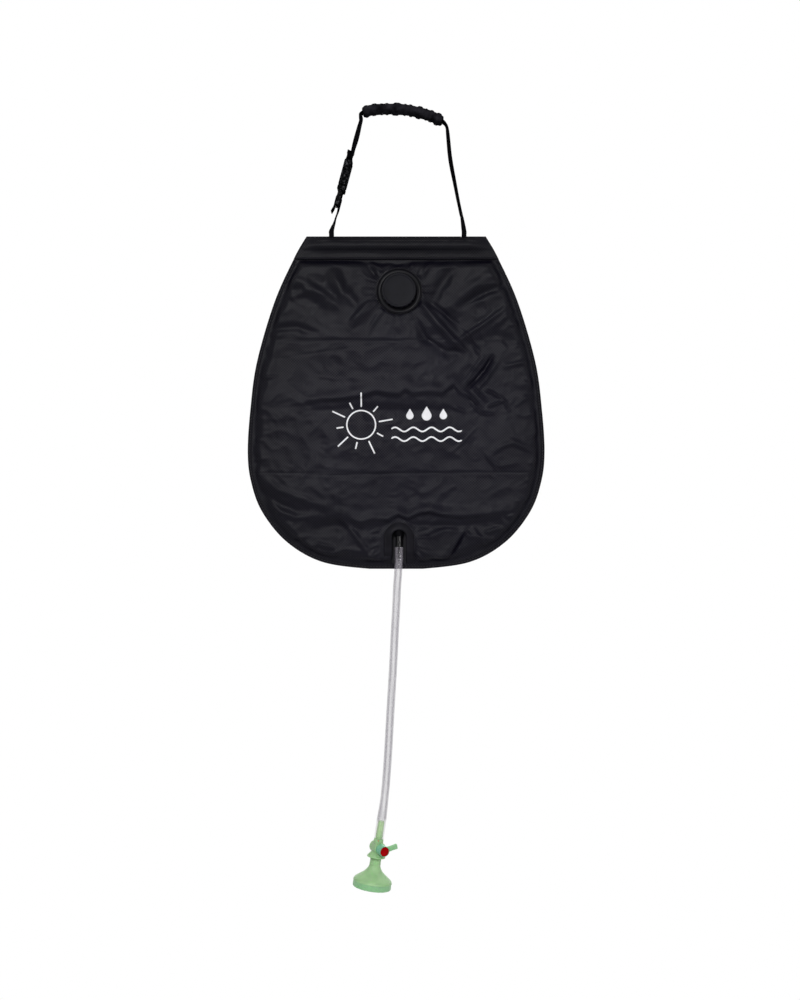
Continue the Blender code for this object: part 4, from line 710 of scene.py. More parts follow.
# Folds of the front, in millimetres: height, width above or left of the line, width on its other side,
# and the line, which runs from its first point on. A negative height is a hollow.
FOLDS = (
    (3.2, 11, 3.2, (
        (-129, -391), (-104, -385), (-77, -384), (-49, -380), (-30, -374), (-15, -377), (1, -378),
        (10, -371), (20, -377), (41, -375), (58, -377), (75, -364), (84, -375), (98, -384),
    )),
    (-1.3, 5, 12, ((-122, -403), (-56, -399), (13, -400), (89, -402))),
    (2.6, 9, 3, (
        (-72, -543), (-49, -551), (-35, -546), (-15, -547), (1, -540), (13, -545), (29, -538),
        (44, -536), (58, -540), (82, -543), (117, -540), (155, -535),
    )),
    (-1.2, 4, 10, ((-42, -558), (13, -555), (82, -557), (144, -548))),
    (3, 4, 6, ((28, -252), (48, -276), (68, -299), (94, -324))),
    (-1.7, 4, 3, ((39, -252), (61, -269), (91, -299))),
    (-1.9, 3, 8, ((25, -279), (37, -303), (65, -321), (87, -322))),
    (1.6, 4, 4, ((-35, -252), (-49, -266), (-63, -281))),
    (0.9, 3, 3, ((-25, -270), (-35, -286), (-40, -299))),
    (2, 6, 9, ((-151, -223), (-125, -229), (-91, -254), (-77, -262))),
    (1.3, 5, 5, ((-148, -249), (-115, -239), (-94, -248))),
    (-2.1, 8, 8, ((-91, -208), (-77, -239), (-54, -261))),
    (1.4, 5, 5, ((-66, -289), (-49, -272), (-32, -262))),
    (-1.6, 5, 5, ((-180, -293), (-139, -288), (-110, -297))),
    (-0.5, 1.3, 1.3, ((-180, -304), (-91, -306), (-15, -306), (44, -307))),
    (-0.3, 1.1, 1.1, ((-174, -333), (-97, -321), (-8, -310))),
    (-0.45, 1.3, 1.3, ((-180, -484), (-91, -488), (13, -485), (103, -484), (194, -485))),
    (0.35, 1.2, 1.2, ((-115, -354), (-77, -360))),
    (-3, 2.8, 2.8, ((128, -327), (117, -345), (105, -360), (93, -372))),
    (1.3, 3, 3, ((136, -332), (120, -357), (104, -375))),
    (1.1, 3, 3, ((117, -325), (101, -347), (86, -367))),
    (1.6, 2, 2, ((91, -376), (101, -386), (112, -398))),
    (1.3, 2, 2, ((102, -370), (112, -381), (121, -388))),
    (1.4, 2, 2, ((117, -373), (127, -377), (138, -384))),
    (1.2, 2, 2, ((120, -395), (132, -392), (144, -387))),
    (1.1, 2, 2, ((109, -403), (120, -406), (131, -405))),
    (0.9, 2, 2, ((137, -381), (144, -389), (149, -402))),
    (0.9, 2, 2, ((96, -388), (105, -398), (114, -405))),
    (0.8, 2.5, 2, ((71, -395), (82, -400), (93, -403))),
    (0.5, 1.4, 1.4, ((71, -458), (89, -442), (108, -421))),
    (1.7, 4, 3, ((130, -456), (143, -448), (155, -445), (180, -456))),
    (1.2, 3, 3, ((120, -465), (137, -476), (162, -470))),
    (1.2, 3, 3, ((147, -438), (169, -449), (187, -442))),
    (0.9, 2, 2, ((117, -457), (125, -469), (135, -485))),
    (1.5, 3, 4, ((71, -314), (93, -299), (120, -281), (146, -261))),
    (1.2, 2.5, 2.5, ((68, -278), (93, -299), (112, -327))),
    (0.8, 3, 3, ((48, -283), (72, -299))),
    (-2.3, 7, 7, ((42, -262), (58, -232), (79, -206))),
    (2, 8, 8, ((65, -266), (99, -235), (144, -210))),
    (1, 3, 3, ((30, -227), (37, -213), (45, -201))),
    (-1.4, 5, 5, ((82, -262), (117, -242), (152, -230))),
    (1.6, 4, 4, ((130, -287), (155, -266), (167, -270))),
    (-1.2, 6, 8, ((75, -321), (131, -300), (162, -310))),
    (-1.2, 3, 3, ((-42, -205), (-35, -213), (-28, -223))),
    (1, 3, 3, ((-26, -217), (-20, -210), (-12, -204))),
    (1, 3, 3, ((-36, -201), (-28, -208), (-21, -215))),
    (1, 3, 3, ((13, -214), (17, -208), (21, -203))),
    (0.8, 3, 3, ((24, -220), (29, -213), (35, -206))),
    (0.8, 2, 2, ((-185, -294), (-168, -299))),
    (0.7, 2, 2, ((-188, -310), (-173, -320))),
    (0.8, 2.2, 2.2, ((-193, -350), (-177, -357), (-162, -354))),
    (0.8, 2, 2, ((-198, -371), (-183, -367))),
    (0.7, 2, 2, ((-203, -408), (-183, -411))),
    (0.7, 2, 2, ((-204, -438), (-180, -442))),
    (0.8, 2, 2, ((-203, -469), (-176, -465))),
    (1.4, 5, 6, ((-185, -489), (-163, -506), (-118, -524), (-90, -531))),
    (-1.1, 5, 5, ((-187, -506), (-160, -526), (-128, -540))),
    (1.0, 4, 4, ((-167, -533), (-139, -545), (-114, -543))),
    (1.2, 3, 3, ((-160, -567), (-139, -574), (-121, -570))),
    (-2.3, 8, 8, ((-118, -562), (-84, -555), (-55, -562))),
    (1.5, 4, 4, ((-77, -546), (-56, -570), (-35, -600))),
    (1.2, 3, 3, ((-129, -591), (-108, -580), (-83, -587))),
    (0.9, 3, 3, ((-98, -601), (-73, -588), (-48, -590))),
    (0.9, 2.5, 2.5, ((-43, -604), (-30, -587))),
    (0.9, 2.5, 2.5, ((151, -220), (134, -230), (116, -232))),
    (0.8, 2.5, 2.5, ((159, -252), (144, -260))),
    (0.8, 2.5, 2.5, ((169, -279), (151, -287))),
    (0.8, 2.5, 2.5, ((181, -310), (158, -314))),
    (1.2, 3, 3, ((187, -335), (165, -337), (144, -341))),
    (0.8, 2.5, 2.5, ((188, -354), (169, -361))),
    (1, 2.5, 2.5, ((192, -381), (172, -384), (158, -395))),
    (0.8, 2.5, 2.5, ((193, -401), (172, -408))),
    (1, 2.5, 2.5, ((195, -421), (179, -438), (165, -442))),
    (0.9, 2.5, 2.5, ((195, -465), (175, -473))),
    (0.8, 2.5, 2.5, ((192, -492), (169, -496))),
    (1, 3, 3, ((185, -519), (158, -523))),
    (0.8, 2.5, 2.5, ((169, -540), (144, -544))),
    (1.1, 3, 3, ((155, -563), (134, -560), (113, -567))),
    (0.8, 2.5, 2.5, ((138, -577), (117, -573))),
    (-1.5, 1.9, 1.9, ((93, -561), (82, -579), (68, -604))),
    (0.9, 3, 3, ((99, -558), (117, -580), (121, -594))),
    (1.1, 3, 3, ((86, -558), (96, -570), (121, -572))),
    (1.3, 4, 5, ((37, -574), (61, -562), (83, -563))),
    (1.2, 3, 3, ((27, -587), (48, -597), (66, -605))),
    (0.8, 1.7, 1.7, ((-25, -562), (-36, -565))),
    (0.8, 1.7, 1.7, ((-26, -572), (-38, -575))),
    (0.8, 1.7, 1.7, ((-27, -582), (-41, -587))),
    (0.8, 1.7, 1.7, ((-25, -592), (-39, -601))),
    (0.8, 1.7, 1.7, ((25, -562), (40, -558))),
    (0.9, 1.8, 1.8, ((26, -572), (45, -570))),
    (0.9, 1.8, 1.8, ((25, -582), (45, -588))),
    (0.9, 1.8, 1.8, ((22, -591), (38, -606))),
)


def fold_height(points, folds):
    """Height in millimetres that the folds add at points in metres."""
    where = points / MM
    total = np.zeros(len(points))
    for height, first, second, line in folds:
        line = np.array(line, float)
        lengths = lengths_along(line)
        reach = 3 * max(first, second)
        near = ((where > line.min(axis=0) - reach) & (where < line.max(axis=0) + reach)).all(axis=1)
        here = where[near]
        best, side, along = np.full(len(here), 1e9), np.zeros(len(here)), np.zeros(len(here))
        for i, (a, b) in enumerate(zip(line, line[1:])):
            run = b - a
            size = np.linalg.norm(run)
            t = np.clip(((here - a) @ run) / size**2, 0, 1)
            gap = here - a - t[:, None] * run
            away = np.linalg.norm(gap, axis=1)
            closer = away < best
            best[closer] = away[closer]
            side[closer] = np.sign(run[0] * gap[:, 1] - run[1] * gap[:, 0])[closer]
            along[closer] = ((lengths[i] + t * size) / lengths[-1])[closer]
        width = np.where(side >= 0, first, second)
        taper = np.sin(np.pi * np.clip(along, 0.02, 0.98)) ** 0.5
        total[near] += height * np.exp(-((best / width) ** 2)) * taper
    return total


def crumple(points, size, seed):
    """Sharp-backed noise from -1 to 1, the same on every run."""
    return np.array([1 - 2.6 * abs(noise.noise(Vector((x / size, z / size, seed)))) for x, z in points])


def ring_puckers(points):
    """Short folds that run out from the filler's ring, in millimetres."""
    x, z = points[:, 0] - FILLER_X, points[:, 1] - FILLER_Z
    reach, angle = np.hypot(x, z), np.arctan2(z, x)
    run = np.exp(-np.clip(reach - FLANGE_RADIUS, 0, None) / 0.011)
    wave = np.sin(19 * angle + 2.2 * np.sin(2 * angle + 0.7))
    wave += 0.6 * np.sin(31 * angle + 1.9 * np.cos(3 * angle))
    return 0.75 * wave * run * (0.7 + 0.3 * np.sin(2 * angle + 1.0))


def arch_reach(points):
    """Distance from the outlet's arch line."""
    x, z = points[:, 0] - OUTLET_X, points[:, 1] - ARCH_Z
    return np.where(z > 0, np.hypot(x, z), np.abs(x))


def place_on_edge(points):
    """Place along the outline of the nearest outline point, in metres."""
    found = np.zeros(len(points))
    best = np.full(len(points), 1e9)
    for place, spot in zip(lengths_along(EDGE_LINE), EDGE_LINE):
        away = np.linalg.norm(points - spot, axis=1)
        closer = away < best
        best[closer], found[closer] = away[closer], place
    return found


def edge_puckers(inside, place):
    """Small gathers along the bound seam, in millimetres."""
    wave = np.sin(place / 0.0042 + 2.5 * np.sin(place / 0.031)) * np.sin(place / 0.053 + 1.0)
    return 0.55 * wave * np.exp(-np.clip(inside - SEAM_WIDTH, 0, None) / 0.012)


def base_rise(points, run):
    """Distances inside the seam and below the sleeve, and the cloth's rise from both without its folds."""
    x, z = points[:, 0], points[:, 1]
    inside = distance_to(points, EDGE_LINE)
    below = np.clip(PANEL_RISE_Z - z, 0, None)
    slack = 1 + 0.45 * np.sin(x / 0.013 + 3 * np.sin(z / 0.029)) * np.cos(z / 0.017)
    t = np.clip(np.minimum((inside - SEAM_WIDTH) / (run * slack), below / 0.011), 0, 1)
    return inside, below, SEAM_FACE + (PUFF - SEAM_FACE) * (1 - np.cos(np.pi * t)) / 2


def free_share(inside, below):
    """How freely the cloth folds: not at all at the seam and the sleeve."""
    return smooth_step(SEAM_WIDTH - 0.0005, SEAM_WIDTH + 0.008, inside) * smooth_step(0.0, 0.006, below)


def front_y(points):
    """Where the front cloth lies, for points (x, z)."""
    points = np.asarray(points, float)
    inside, below, rise = base_rise(points, FRONT_RUN)
    x, z = points[:, 0], points[:, 1]
    folds = 1.3 * fold_height(points, FOLDS) + ring_puckers(points)
    folds += 1.3 * np.sin(x / 0.037 + 1.3 + 0.8 * np.sin(z / 0.06)) * np.cos(z / 0.049 + 0.6)
    folds += 0.55 * np.sin((x + 0.7 * z) / 0.021) * np.cos((z - 0.4 * x) / 0.033)
    folds += 0.55 * crumple(points, 0.024, 3.1) + 0.20 * crumple(points, 0.0095, 7.7)
    folds += edge_puckers(inside, place_on_edge(points))
    limit, gain = 8.0, 1.9
    folds = limit * np.tanh(gain * folds / limit)
    from_ring = np.hypot(x - FILLER_X, z - FILLER_Z)
    free = free_share(inside, below)
    free *= smooth_step(FLANGE_RADIUS + 0.0002, FLANGE_RADIUS + 0.004, from_ring)
    free *= smooth_step(ARCH_OUTER + 0.0002, ARCH_OUTER + 0.005, arch_reach(points))
    under = 1 - smooth_step(FLANGE_RADIUS, FLANGE_RADIUS + 0.006, from_ring)
    rise = rise * (1 - under) + PUFF * under
    return -np.maximum(rise + folds * MM * free, SEAM_FACE * 0.9)


def back_y(points):
    """Where the back cloth lies: broad slack folds, with the front's creases showing through weakly."""
    points = np.asarray(points, float)
    inside, below, rise = base_rise(points, PUFF_RUN)
    x, z = points[:, 0], points[:, 1]
    folds = 0.42 * fold_height(points * np.array([-1.0, 1.0]), FOLDS[:6])
    folds += 1.3 * np.sin(x / 0.044 + 0.4 + 0.9 * np.sin(z / 0.05)) * np.cos(z / 0.058 + 1.9)
    folds += 0.8 * np.sin((x - 0.8 * z) / 0.026) * np.cos((z + 0.5 * x) / 0.036)
    folds += 0.6 * crumple(points, 0.026, 12.3) + 0.2 * crumple(points, 0.009, 17.7)
    folds += edge_puckers(inside, place_on_edge(points) * 1.07)
    return np.maximum(rise + folds * MM * free_share(inside, below), SEAM_FACE * 0.9)


def inside_loop(points, loop):
    found = np.zeros(len(points), bool)
    for (ax, ay), (bx, by) in zip(loop, np.roll(loop, -1, axis=0)):
        if ay != by:
            crosses = (ay > points[:, 1]) != (by > points[:, 1])
            found ^= crosses & (points[:, 0] < (bx - ax) * (points[:, 1] - ay) / (by - ay) + ax)
    return found


def within_outline(points, inset):
    return np.abs(points[:, 0] - BAG_CENTRE_X) < half_width(points[:, 1]) - inset


def sheet_plan(spacing, holes):
    """Points and triangles of a panel laid flat, fine enough to carry the folds."""
    row_step, clear = spacing * 0.866, spacing * 0.55
    top = even([EDGE_LINE[-1], EDGE_LINE[0]], spacing)[1:-1]
    loops = [[*EDGE_LINE, *top], *holes]
    low, high = EDGE_LINE.min(axis=0), EDGE_LINE.max(axis=0)
    grid = []
    for r in range(int((high[1] - low[1]) / row_step)):
        z = low[1] + row_step * (r + 0.5)
        grid += [(x + spacing * 0.5 * (r % 2), z) for x in np.arange(low[0], high[0], spacing)]
    grid = np.array(grid)
    grid = grid[within_outline(grid, PANEL_INSET) & (grid[:, 1] < PANEL_TOP_Z)]
    edges, start = [], 0
    for loop in loops:
        grid = grid[distance_to(grid, np.array([*loop, loop[0]])) > clear]
        edges += [(start + i, start + (i + 1) % len(loop)) for i in range(len(loop))]
        start += len(loop)
    flat = [Vector(tuple(p)) for group in (*loops, grid) for p in group]
    points, _, faces, *_ = delaunay_2d_cdt(flat, edges, [], 0, 1e-7)
    points = np.array([tuple(p) for p in points])
    faces = np.array([tuple(f) for f in faces])
    middle = points[faces].mean(axis=1)
    keep = within_outline(middle, PANEL_INSET * 0.8)
    keep &= (middle[:, 1] < PANEL_TOP_Z) & (middle[:, 1] > BAG_BOTTOM_Z + PANEL_INSET * 0.8)
    for hole in holes:
        keep &= ~inside_loop(middle, np.array(hole))
    return points, faces[keep]


def add_panels():
    neck = [polar(NECK_RADIUS + GAP, angle, FILLER_X, FILLER_Z) for angle in angles(64)]
    notch = [arch_spot(ARCH_INNER + ARCH_WALL + GAP, station) for station in arch_stations(14)]
    coarse, pieces = 0.0032, []
    for name, holes, depth, stands_for, fine, facing in (
        ("front_cloth", [neck, notch], front_y, "front_panel", 0.0018, -1),
        ("back_cloth", [], back_y, "back_panel", 0.0028, 1),
    ):
        points, faces = sheet_plan(fine, holes)
        obj = mesh_object(name, np.stack([points[:, 0], depth(points), points[:, 1]], axis=1), faces)
        if sum(p.normal.y * p.area for p in obj.data.polygons) * facing < 0:
            obj.data.flip_normals()
        obj.data.shade_smooth()
        dress(obj, "bag", "bag_cloth", CLOTH, stands_for)
        pieces.append(obj)
    return pieces


# Binding round the seam
def add_binding():
    """A folded tape with a rounded outer bead."""
    line = outline_line(SLEEVE_BOTTOM_Z - GAP, 0.0022)
    # Distance in from the edge and height above the seam's plane, in millimetres
    half = (
        (5.0, 1.75), (4.8, 2.05), (4.2, 2.20), (3.5, 2.15), (3.1, 1.85), (2.7, 1.90), (2.3, 2.35),
        (1.7, 2.75), (1.1, 2.80), (0.6, 2.45), (0.2, 1.75), (0.02, 0.8),
    )
    # The tape's outside in front and behind, then the groove that holds the panels
    groove = 1.30
    section = [(d, -y) for d, y in half] + [(0.0, 0.0)] + [(d, y) for d, y in half[::-1]]
    section += [(5.0, groove), (1.2, groove), (1.2, -groove), (5.0, -groove)]
    rings = []
    for i, (spot, side) in enumerate(zip(line, sideways(line))):
        ripple = 0.16 * math.sin(i * 1.7 + 2.0 * math.sin(i * 0.13)) + 0.14 * math.sin(i * 0.61)
        ring = []
        for d, y in section:
            lift = 1 + 0.09 * ripple if abs(y) > groove + 0.01 else 1
            shift = 0.0 if d < 0.3 else 0.12 * ripple
            at = spot + side * (d + shift) * MM
            ring.append((at[0], y * lift * MM, at[1]))
        rings.append(ring)
    dress(skin("edge_tape", rings), "bag", "bag_cloth", TAPE, "edge_binding")


def add_stitches():
    """Short plump stitches along the tape's inner edge, in front and behind."""
    pitch, sides, face_height, from_edge = 0.0040, 6, 1.98, 3.0
    row = outline_line(SLEEVE_BOTTOM_Z - pitch, pitch)
    # Along the stitch and its radius, in millimetres
    profile = ((-1.35, 0.10), (-0.9, 0.26), (0.0, 0.30), (0.9, 0.26), (1.35, 0.10))
    last = sides * (len(profile) - 1)
    points, faces = [], []
    for before, here, after, side in zip(row, row[1:], row[2:], sideways(row)[1:]):
        run = (after - before) / np.linalg.norm(after - before)
        centre = here + side * from_edge * MM
        for facing in (-1, 1):
            base = len(points)
            for u, r in profile:
                for angle in angles(sides):
                    at = centre + run * u * MM + side * r * math.cos(angle) * MM
                    points.append((at[0], facing * (face_height + 0.9 * r * math.sin(angle)) * MM, at[1]))
            faces += [tuple(base + j for j in f) for f in grid_faces(len(profile), sides)]
            faces += [tuple(base + end + k for k in range(sides)) for end in (0, last)]
    stitches = mesh_object("edge_stitches", points, faces)
    face_out(stitches)
    dress(stitches, "bag", "bag_cloth", THREAD)


# Top sleeve
SLEEVE_FOLDS = (
    (0.5, 2.2, 1.4, ((55, -171), (68, -176), (76, -185))),
    (0.45, 1.6, 1.6, ((62, -169), (84, -174))),
    (-0.4, 2.0, 2.0, ((-96, -190), (-60, -187), (-20, -189))),
    (0.35, 1.8, 1.8, ((20, -171), (34, -176), (40, -184))),
    (-0.35, 2.0, 2.0, ((-50, -170), (-42, -178), (-44, -187))),
    (0.4, 1.5, 1.5, ((96, -190), (110, -183), (118, -172))),
    (0.35, 1.5, 1.5, ((-128, -192), (-112, -184), (-108, -172))),
)
SLIT_HALF = 0.0037


def sleeve_half(fill):
    """(y, z) up one half of the sleeve's outside, from its lower edge to the fold at the top."""
    flat = SEAM_FACE + GAP + SHEET
    half = [(flat, SLEEVE_BOTTOM_Z), (flat, -0.1945), (flat, -0.1920), (flat + 0.00005, -0.1902)]
    for t in (0.25, 0.5, 0.75):
        half.append((flat + (0.0017 * t**1.6) * fill, -0.1902 + 0.0060 * t))
    for y, z in arc(0, TUBE_Z, TUBE_OUT, math.radians(-60), math.radians(60), 14):
        half.append((flat + (y - flat) * fill, z))
    half += [(0.0029 * fill + 0.0019 * (1 - fill), -0.1692), (0.0020 * fill + 0.0016 * (1 - fill), -0.1672)]
    return half + [(0.00140, -0.1660), (0.0007, -0.16555)]


def add_sleeve():
    """The folded-over hem: round where the tube fills it, drawn flat to a slanted facet at each end."""
    top_half = float(half_width(TUBE_Z))
    slit_edges = [x - BAG_CENTRE_X + d for x in (SLIT_LEFT_X, SLIT_RIGHT_X) for d in (-SLIT_HALF, SLIT_HALF)]
    marks = sorted([-1.0, 1.0, *(edge / top_half for edge in slit_edges)])
    shares = []
    for a, b in zip(marks, marks[1:]):
        count = max(2, round(abs(b - a) * top_half / 0.0024))
        shares += [a + (b - a) * i / count for i in range(count)]
    rings = []
    for share in (*shares, 1.0):
        side = []
        for (flat_y, z), (full_y, _) in zip(sleeve_half(0.0), sleeve_half(1.0)):
            facet = 0.20 + 0.05 * abs(z - TUBE_Z) / 0.012
            fill = float(np.clip((1 - abs(share)) / facet, 0, 1))
            side.append((flat_y + (full_y - flat_y) * fill, z))
        ring = [(-y, z) for y, z in side] + side[::-1]
        rings.append([(BAG_CENTRE_X + share * float(half_width(z)), y, z) for y, z in ring])
    table = np.array(rings)
    flat_points = table[:, :, [0, 2]].reshape(-1, 2)
    extra = fold_height(flat_points, SLEEVE_FOLDS)
    extra += 0.22 * crumple(flat_points, 0.016, 21.0) + 0.10 * crumple(flat_points, 0.006, 25.0)
    free = smooth_step(0.0, 0.006, flat_points[:, 1] - SLEEVE_BOTTOM_Z - 0.0035)
    free *= smooth_step(0.0, 0.004, BAG_TOP_Z - flat_points[:, 1])
    facing = np.sign(table[:, :, 1]).reshape(-1)
    table[:, :, 1] += (facing * np.clip(extra, -0.2, 2) * free * MM).reshape(table.shape[:2])
    rows, count = table.shape[:2]
    fold = count // 2

    def in_slit(r, c):
        x = (table[r, c, 0] + table[r + 1, c, 0]) / 2
        at_top = fold - 3 <= c < fold + 2
        return at_top and min(abs(x - SLIT_LEFT_X), abs(x - SLIT_RIGHT_X)) < SLIT_HALF

    faces = grid_faces(rows, count, wrap_columns=False, skip=in_slit)
    obj = mesh_object("sleeve", table.reshape(-1, 3), faces)
    if sum(p.normal.y * p.center.y for p in obj.data.polygons) < 0:
        obj.data.flip_normals()
    wall = obj.modifiers.new("cloth_thickness", "SOLIDIFY")
    wall.thickness, wall.offset = SHEET, -1
    dress(obj, "bag", "bag_cloth", SLEEVE_CLOTH, "top_sleeve")
    finish_node("hang_tube", TUBE)


def add_piping():
    """A slightly uneven cord along the sleeve's lower edge, in front and behind."""
    radius, depth = 0.0014, 0.00375
    level = SLEEVE_BOTTOM_Z + radius
    reach = float(half_width(level)) - 0.003
    places = np.linspace(-reach, reach, 150)
    radii = [radius * share for share in tapered(len(places), 0.35, 0.65 / 3)]
    for name, facing in (("piping_front", -1), ("piping_back", 1)):
        line = []
        for p in places:
            y = facing * (depth + 0.00012 * math.sin(p / 0.009))
            line.append((BAG_CENTRE_X + p, y, level + 0.00018 * math.sin(p / 0.0135 + 1)))
        rings = tube_rings(line, radii, 14, lambda i, angle: 1 + 0.035 * math.sin(angle * 2 + i * 0.9))
        dress(skin(name, rings), "bag", "bag_cloth", TAPE, "sleeve_" + name)


# Webbing. The grip's arch is given as shares of its span and of its drop
GRIP_ARCH_SHARES = (
    (0.0, 0.29), (0.10, 0.10), (0.20, 0.03), (0.38, 0.0), (0.56, 0.09), (0.74, 0.34), (0.87, 0.61),
    (1.0, 0.99),
)


def grip_line(count):
    left, top = GRIP_LEFT_X, GRIP_TOP_Z
    arch = [(left + GRIP_SPAN * along, top - GRIP_DROP * drop) for along, drop in GRIP_ARCH_SHARES]
    dense = np.array(smooth_curve(arch, 48))
    return even(dense, np.linalg.norm(np.diff(dense, axis=0), axis=1).sum() / count)


def in_buckle(x, z):
    cos, sin = math.cos(BUCKLE_TILT), math.sin(BUCKLE_TILT)
    return BUCKLE_X + x * cos + z * sin, BUCKLE_Z - x * sin + z * cos


def between(start, end, shares):
    """Points on the way from start to end, each as shares of the way along and aside."""
    run = Vector(end) - Vector(start)
    side = Vector((run.y, -run.x))
    return [tuple(Vector(start) + run * along + side * aside) for along, aside in shares]


def arc(centre_x, centre_z, radius, start, end, steps):
    return [polar(radius, start + (end - start) * i / steps, centre_x, centre_z) for i in range(steps + 1)]


def strap_stations():
    """The strap's run: loose tail, ladder bar, left slit, tube, right slit, grip and the buckle's upper bar.

    A station is (x, z, half width, half thickness, curl, gather, twist)."""
    flat = (WEBBING_HALF, WEBBING_HALF_THICK, 0.0, 0.0, 0.0)
    bunch = (0.00225, 0.0031, 0.0, 1.0, 0.0)
    sewn = (0.0122, 0.00078, 0.0019, 0.0, 0.25)
    ladder_bar, loop_bar, leg, corner = 0.003, 0.004, 0.0018, 0.0045
    ladder_z = ladder_bar * 1.5 + 0.0055
    loop_z = BUCKLE_LENGTH - loop_bar / 2
    ladder_r, loop_r = (bar / math.sqrt(2) + GAP + WEBBING_HALF_THICK for bar in (ladder_bar, loop_bar))
    stations = []

    def lay(form, *spots):
        stations.extend((*spot, *form) for spot in spots)

    def lay_in_buckle(form, *spots):
        lay(form, *(in_buckle(*spot) for spot in spots))

    lay_in_buckle(flat, (-ladder_r - leg, -0.010), (-ladder_r, -0.003), (-ladder_r, 0.003))
    lay_in_buckle(flat, *arc(0, ladder_z, ladder_r, math.pi, 0, 6), (ladder_r, 0.003), (ladder_r, -0.0055))
    swing = SWING_Z + 0.0045
    low, high = between((SLIT_LEFT_X, swing), in_buckle(ladder_r, -0.0055), ((0.35, 0.020), (0.66, 0.010)))
    lay((0.0112, WEBBING_HALF_THICK, 0.0014, 0.1, 0.10), high)
    lay((0.0068, 0.0014, 0.0010, 0.6, 0.0), low)

    slit, bend = (swing, SWING_Z, -0.1662), 0.005
    lay(bunch, *((SLIT_LEFT_X, z) for z in slit))
    lay(bunch, *arc(SLIT_LEFT_X + bend, TUBE_Z + bend, bend, 2 * QUARTER, 3 * QUARTER, 5))
    lay(bunch, *((x, TUBE_Z) for x in (-0.04, 0.0, 0.04)))
    lay(bunch, *arc(SLIT_RIGHT_X - bend, TUBE_Z + bend, bend, 3 * QUARTER, 4 * QUARTER, 5))
    lay(bunch, *((SLIT_RIGHT_X, z) for z in slit[::-1]))

    grip = [tuple(spot) for spot in grip_line(24)[::-1]]
    down = (grip[0][0] + corner, grip[0][1] - corner)
    rise = (
        (0.0045, 0.0022, 0.0006, 0.8, 0.0), (0.0085, 0.0012, 0.0016, 0.4, -0.05),
        (0.0120, 0.00072, 0.0018, 0.0, -0.07), (0.0121, 0.00072, 0.0020, 0.0, -0.12),
        (0.0122, 0.00072, 0.0016, 0.0, -0.10),
    )
    shares = ((0.10, 0.0), (0.18, -0.002), (0.42, -0.006), (0.70, -0.008), (0.93, 0.008))
    for form, spot in zip(rise, between((SLIT_RIGHT_X, swing), down, shares)):
        lay(form, spot)
    turn = (grip[-1][0] - corner, grip[-1][1] - corner)
    lay(flat, down, *grip, turn)

    loop_top = in_buckle(leg / 2, BUCKLE_LENGTH + 0.014)
    fall = (
        (0.0122, 0.00075, 0.0018, 0.0, 0.21), (0.0122, 0.00075, 0.0024, 0.0, 0.27),
        (0.0122, 0.00078, 0.0026, 0.0, 0.31),
    )
    for form, spot in zip(fall, between(turn, loop_top, ((0.10, -0.050), (0.35, -0.035), (0.68, -0.015)))):
        lay(form, spot)
    lay(sewn, loop_top)
    lay_in_buckle(sewn, (leg * 0.8, BUCKLE_LENGTH + 0.007))
    lay_in_buckle(flat, (loop_r, BUCKLE_LENGTH + leg), *arc(0, loop_z, loop_r, 0, -math.pi, 6))
    lay_in_buckle(flat, (-loop_r, BUCKLE_LENGTH + leg))
    lay_in_buckle(sewn, (-leg * 0.3, BUCKLE_LENGTH + 0.007), (-leg * 0.45, BUCKLE_LENGTH + 0.014))
    return stations


def add_webbing():
    """The strap's mesh: woven faces with rounded selvedges, cupped or gathered as the stations say."""
    path = np.array([tuple(map(float, station)) for station in smooth_curve(strap_stations(), 5)])
    places = lengths_along(path[:, :2])
    across = np.linspace(-1, 1, 13)
    points, coords = [], []
    for i, (x, z, half_y, half_n, curl, gather, twist) in enumerate(path):
        run = Vector(path[min(i + 1, len(path) - 1), :2] - path[max(i - 1, 0), :2]).normalized()
        side = Vector((run.y, -run.x))
        half_n = max(half_n, 0.0006)
        waver = 0.25 * MM * math.sin(places[i] / 0.0075) * min(1, curl / 0.001)
        for face in (1, -1):
            for c in across[::face]:
                edge = math.sqrt(max(0.0, 1 - abs(c) ** 6))
                round_edge = math.sqrt(max(0.0, 1 - c * c))
                thick = half_n * ((1 - gather) * (0.25 + 0.75 * edge) + gather * (0.12 + 0.88 * round_edge))
                pleat = gather * 0.00035 * math.sin(c * 9 + places[i] / 0.004)
                n = face * (thick + pleat) + curl * (0.5 - c * c)
                y = half_y * c + waver
                n, y = n + y * math.sin(twist), y * math.cos(twist) - n * math.sin(twist)
                points.append((x + side.x * n, y, z + side.y * n))
                coords.append((c * (half_y if gather < 0.5 else WEBBING_HALF), places[i]))
    rows, columns = len(path), 2 * len(across)
    obj = mesh_object("strap_webbing", points, grid_faces(rows, columns) + end_faces(rows, columns))
    face_out(obj)
    layer = obj.data.uv_layers.new(name="UVMap")
    for loop in obj.data.loops:
        layer.data[loop.index].uv = coords[loop.vertex_index]
    obj.data.materials.append(WEBBING)
    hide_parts("strap_main", "strap_lower", "strap_inner")
    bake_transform(obj)


# Hand grip: ribs as (place along the top, place along the underside, width, height in millimetres)
GRIP_RIBS = (
    (0.050, 0.045, 0.028, 0.55), (0.150, 0.135, 0.034, 0.60), (0.235, 0.235, 0.020, 0.40),
    (0.300, 0.300, 0.022, 0.55), (0.425, 0.400, 0.052, 0.95), (0.520, 0.520, 0.018, 0.55),
    (0.580, 0.600, 0.024, 0.70), (0.700, 0.690, 0.036, 1.00), (0.775, 0.790, 0.016, 0.45),
    (0.845, 0.850, 0.024, 0.65), (0.940, 0.930, 0.034, 1.00),
)


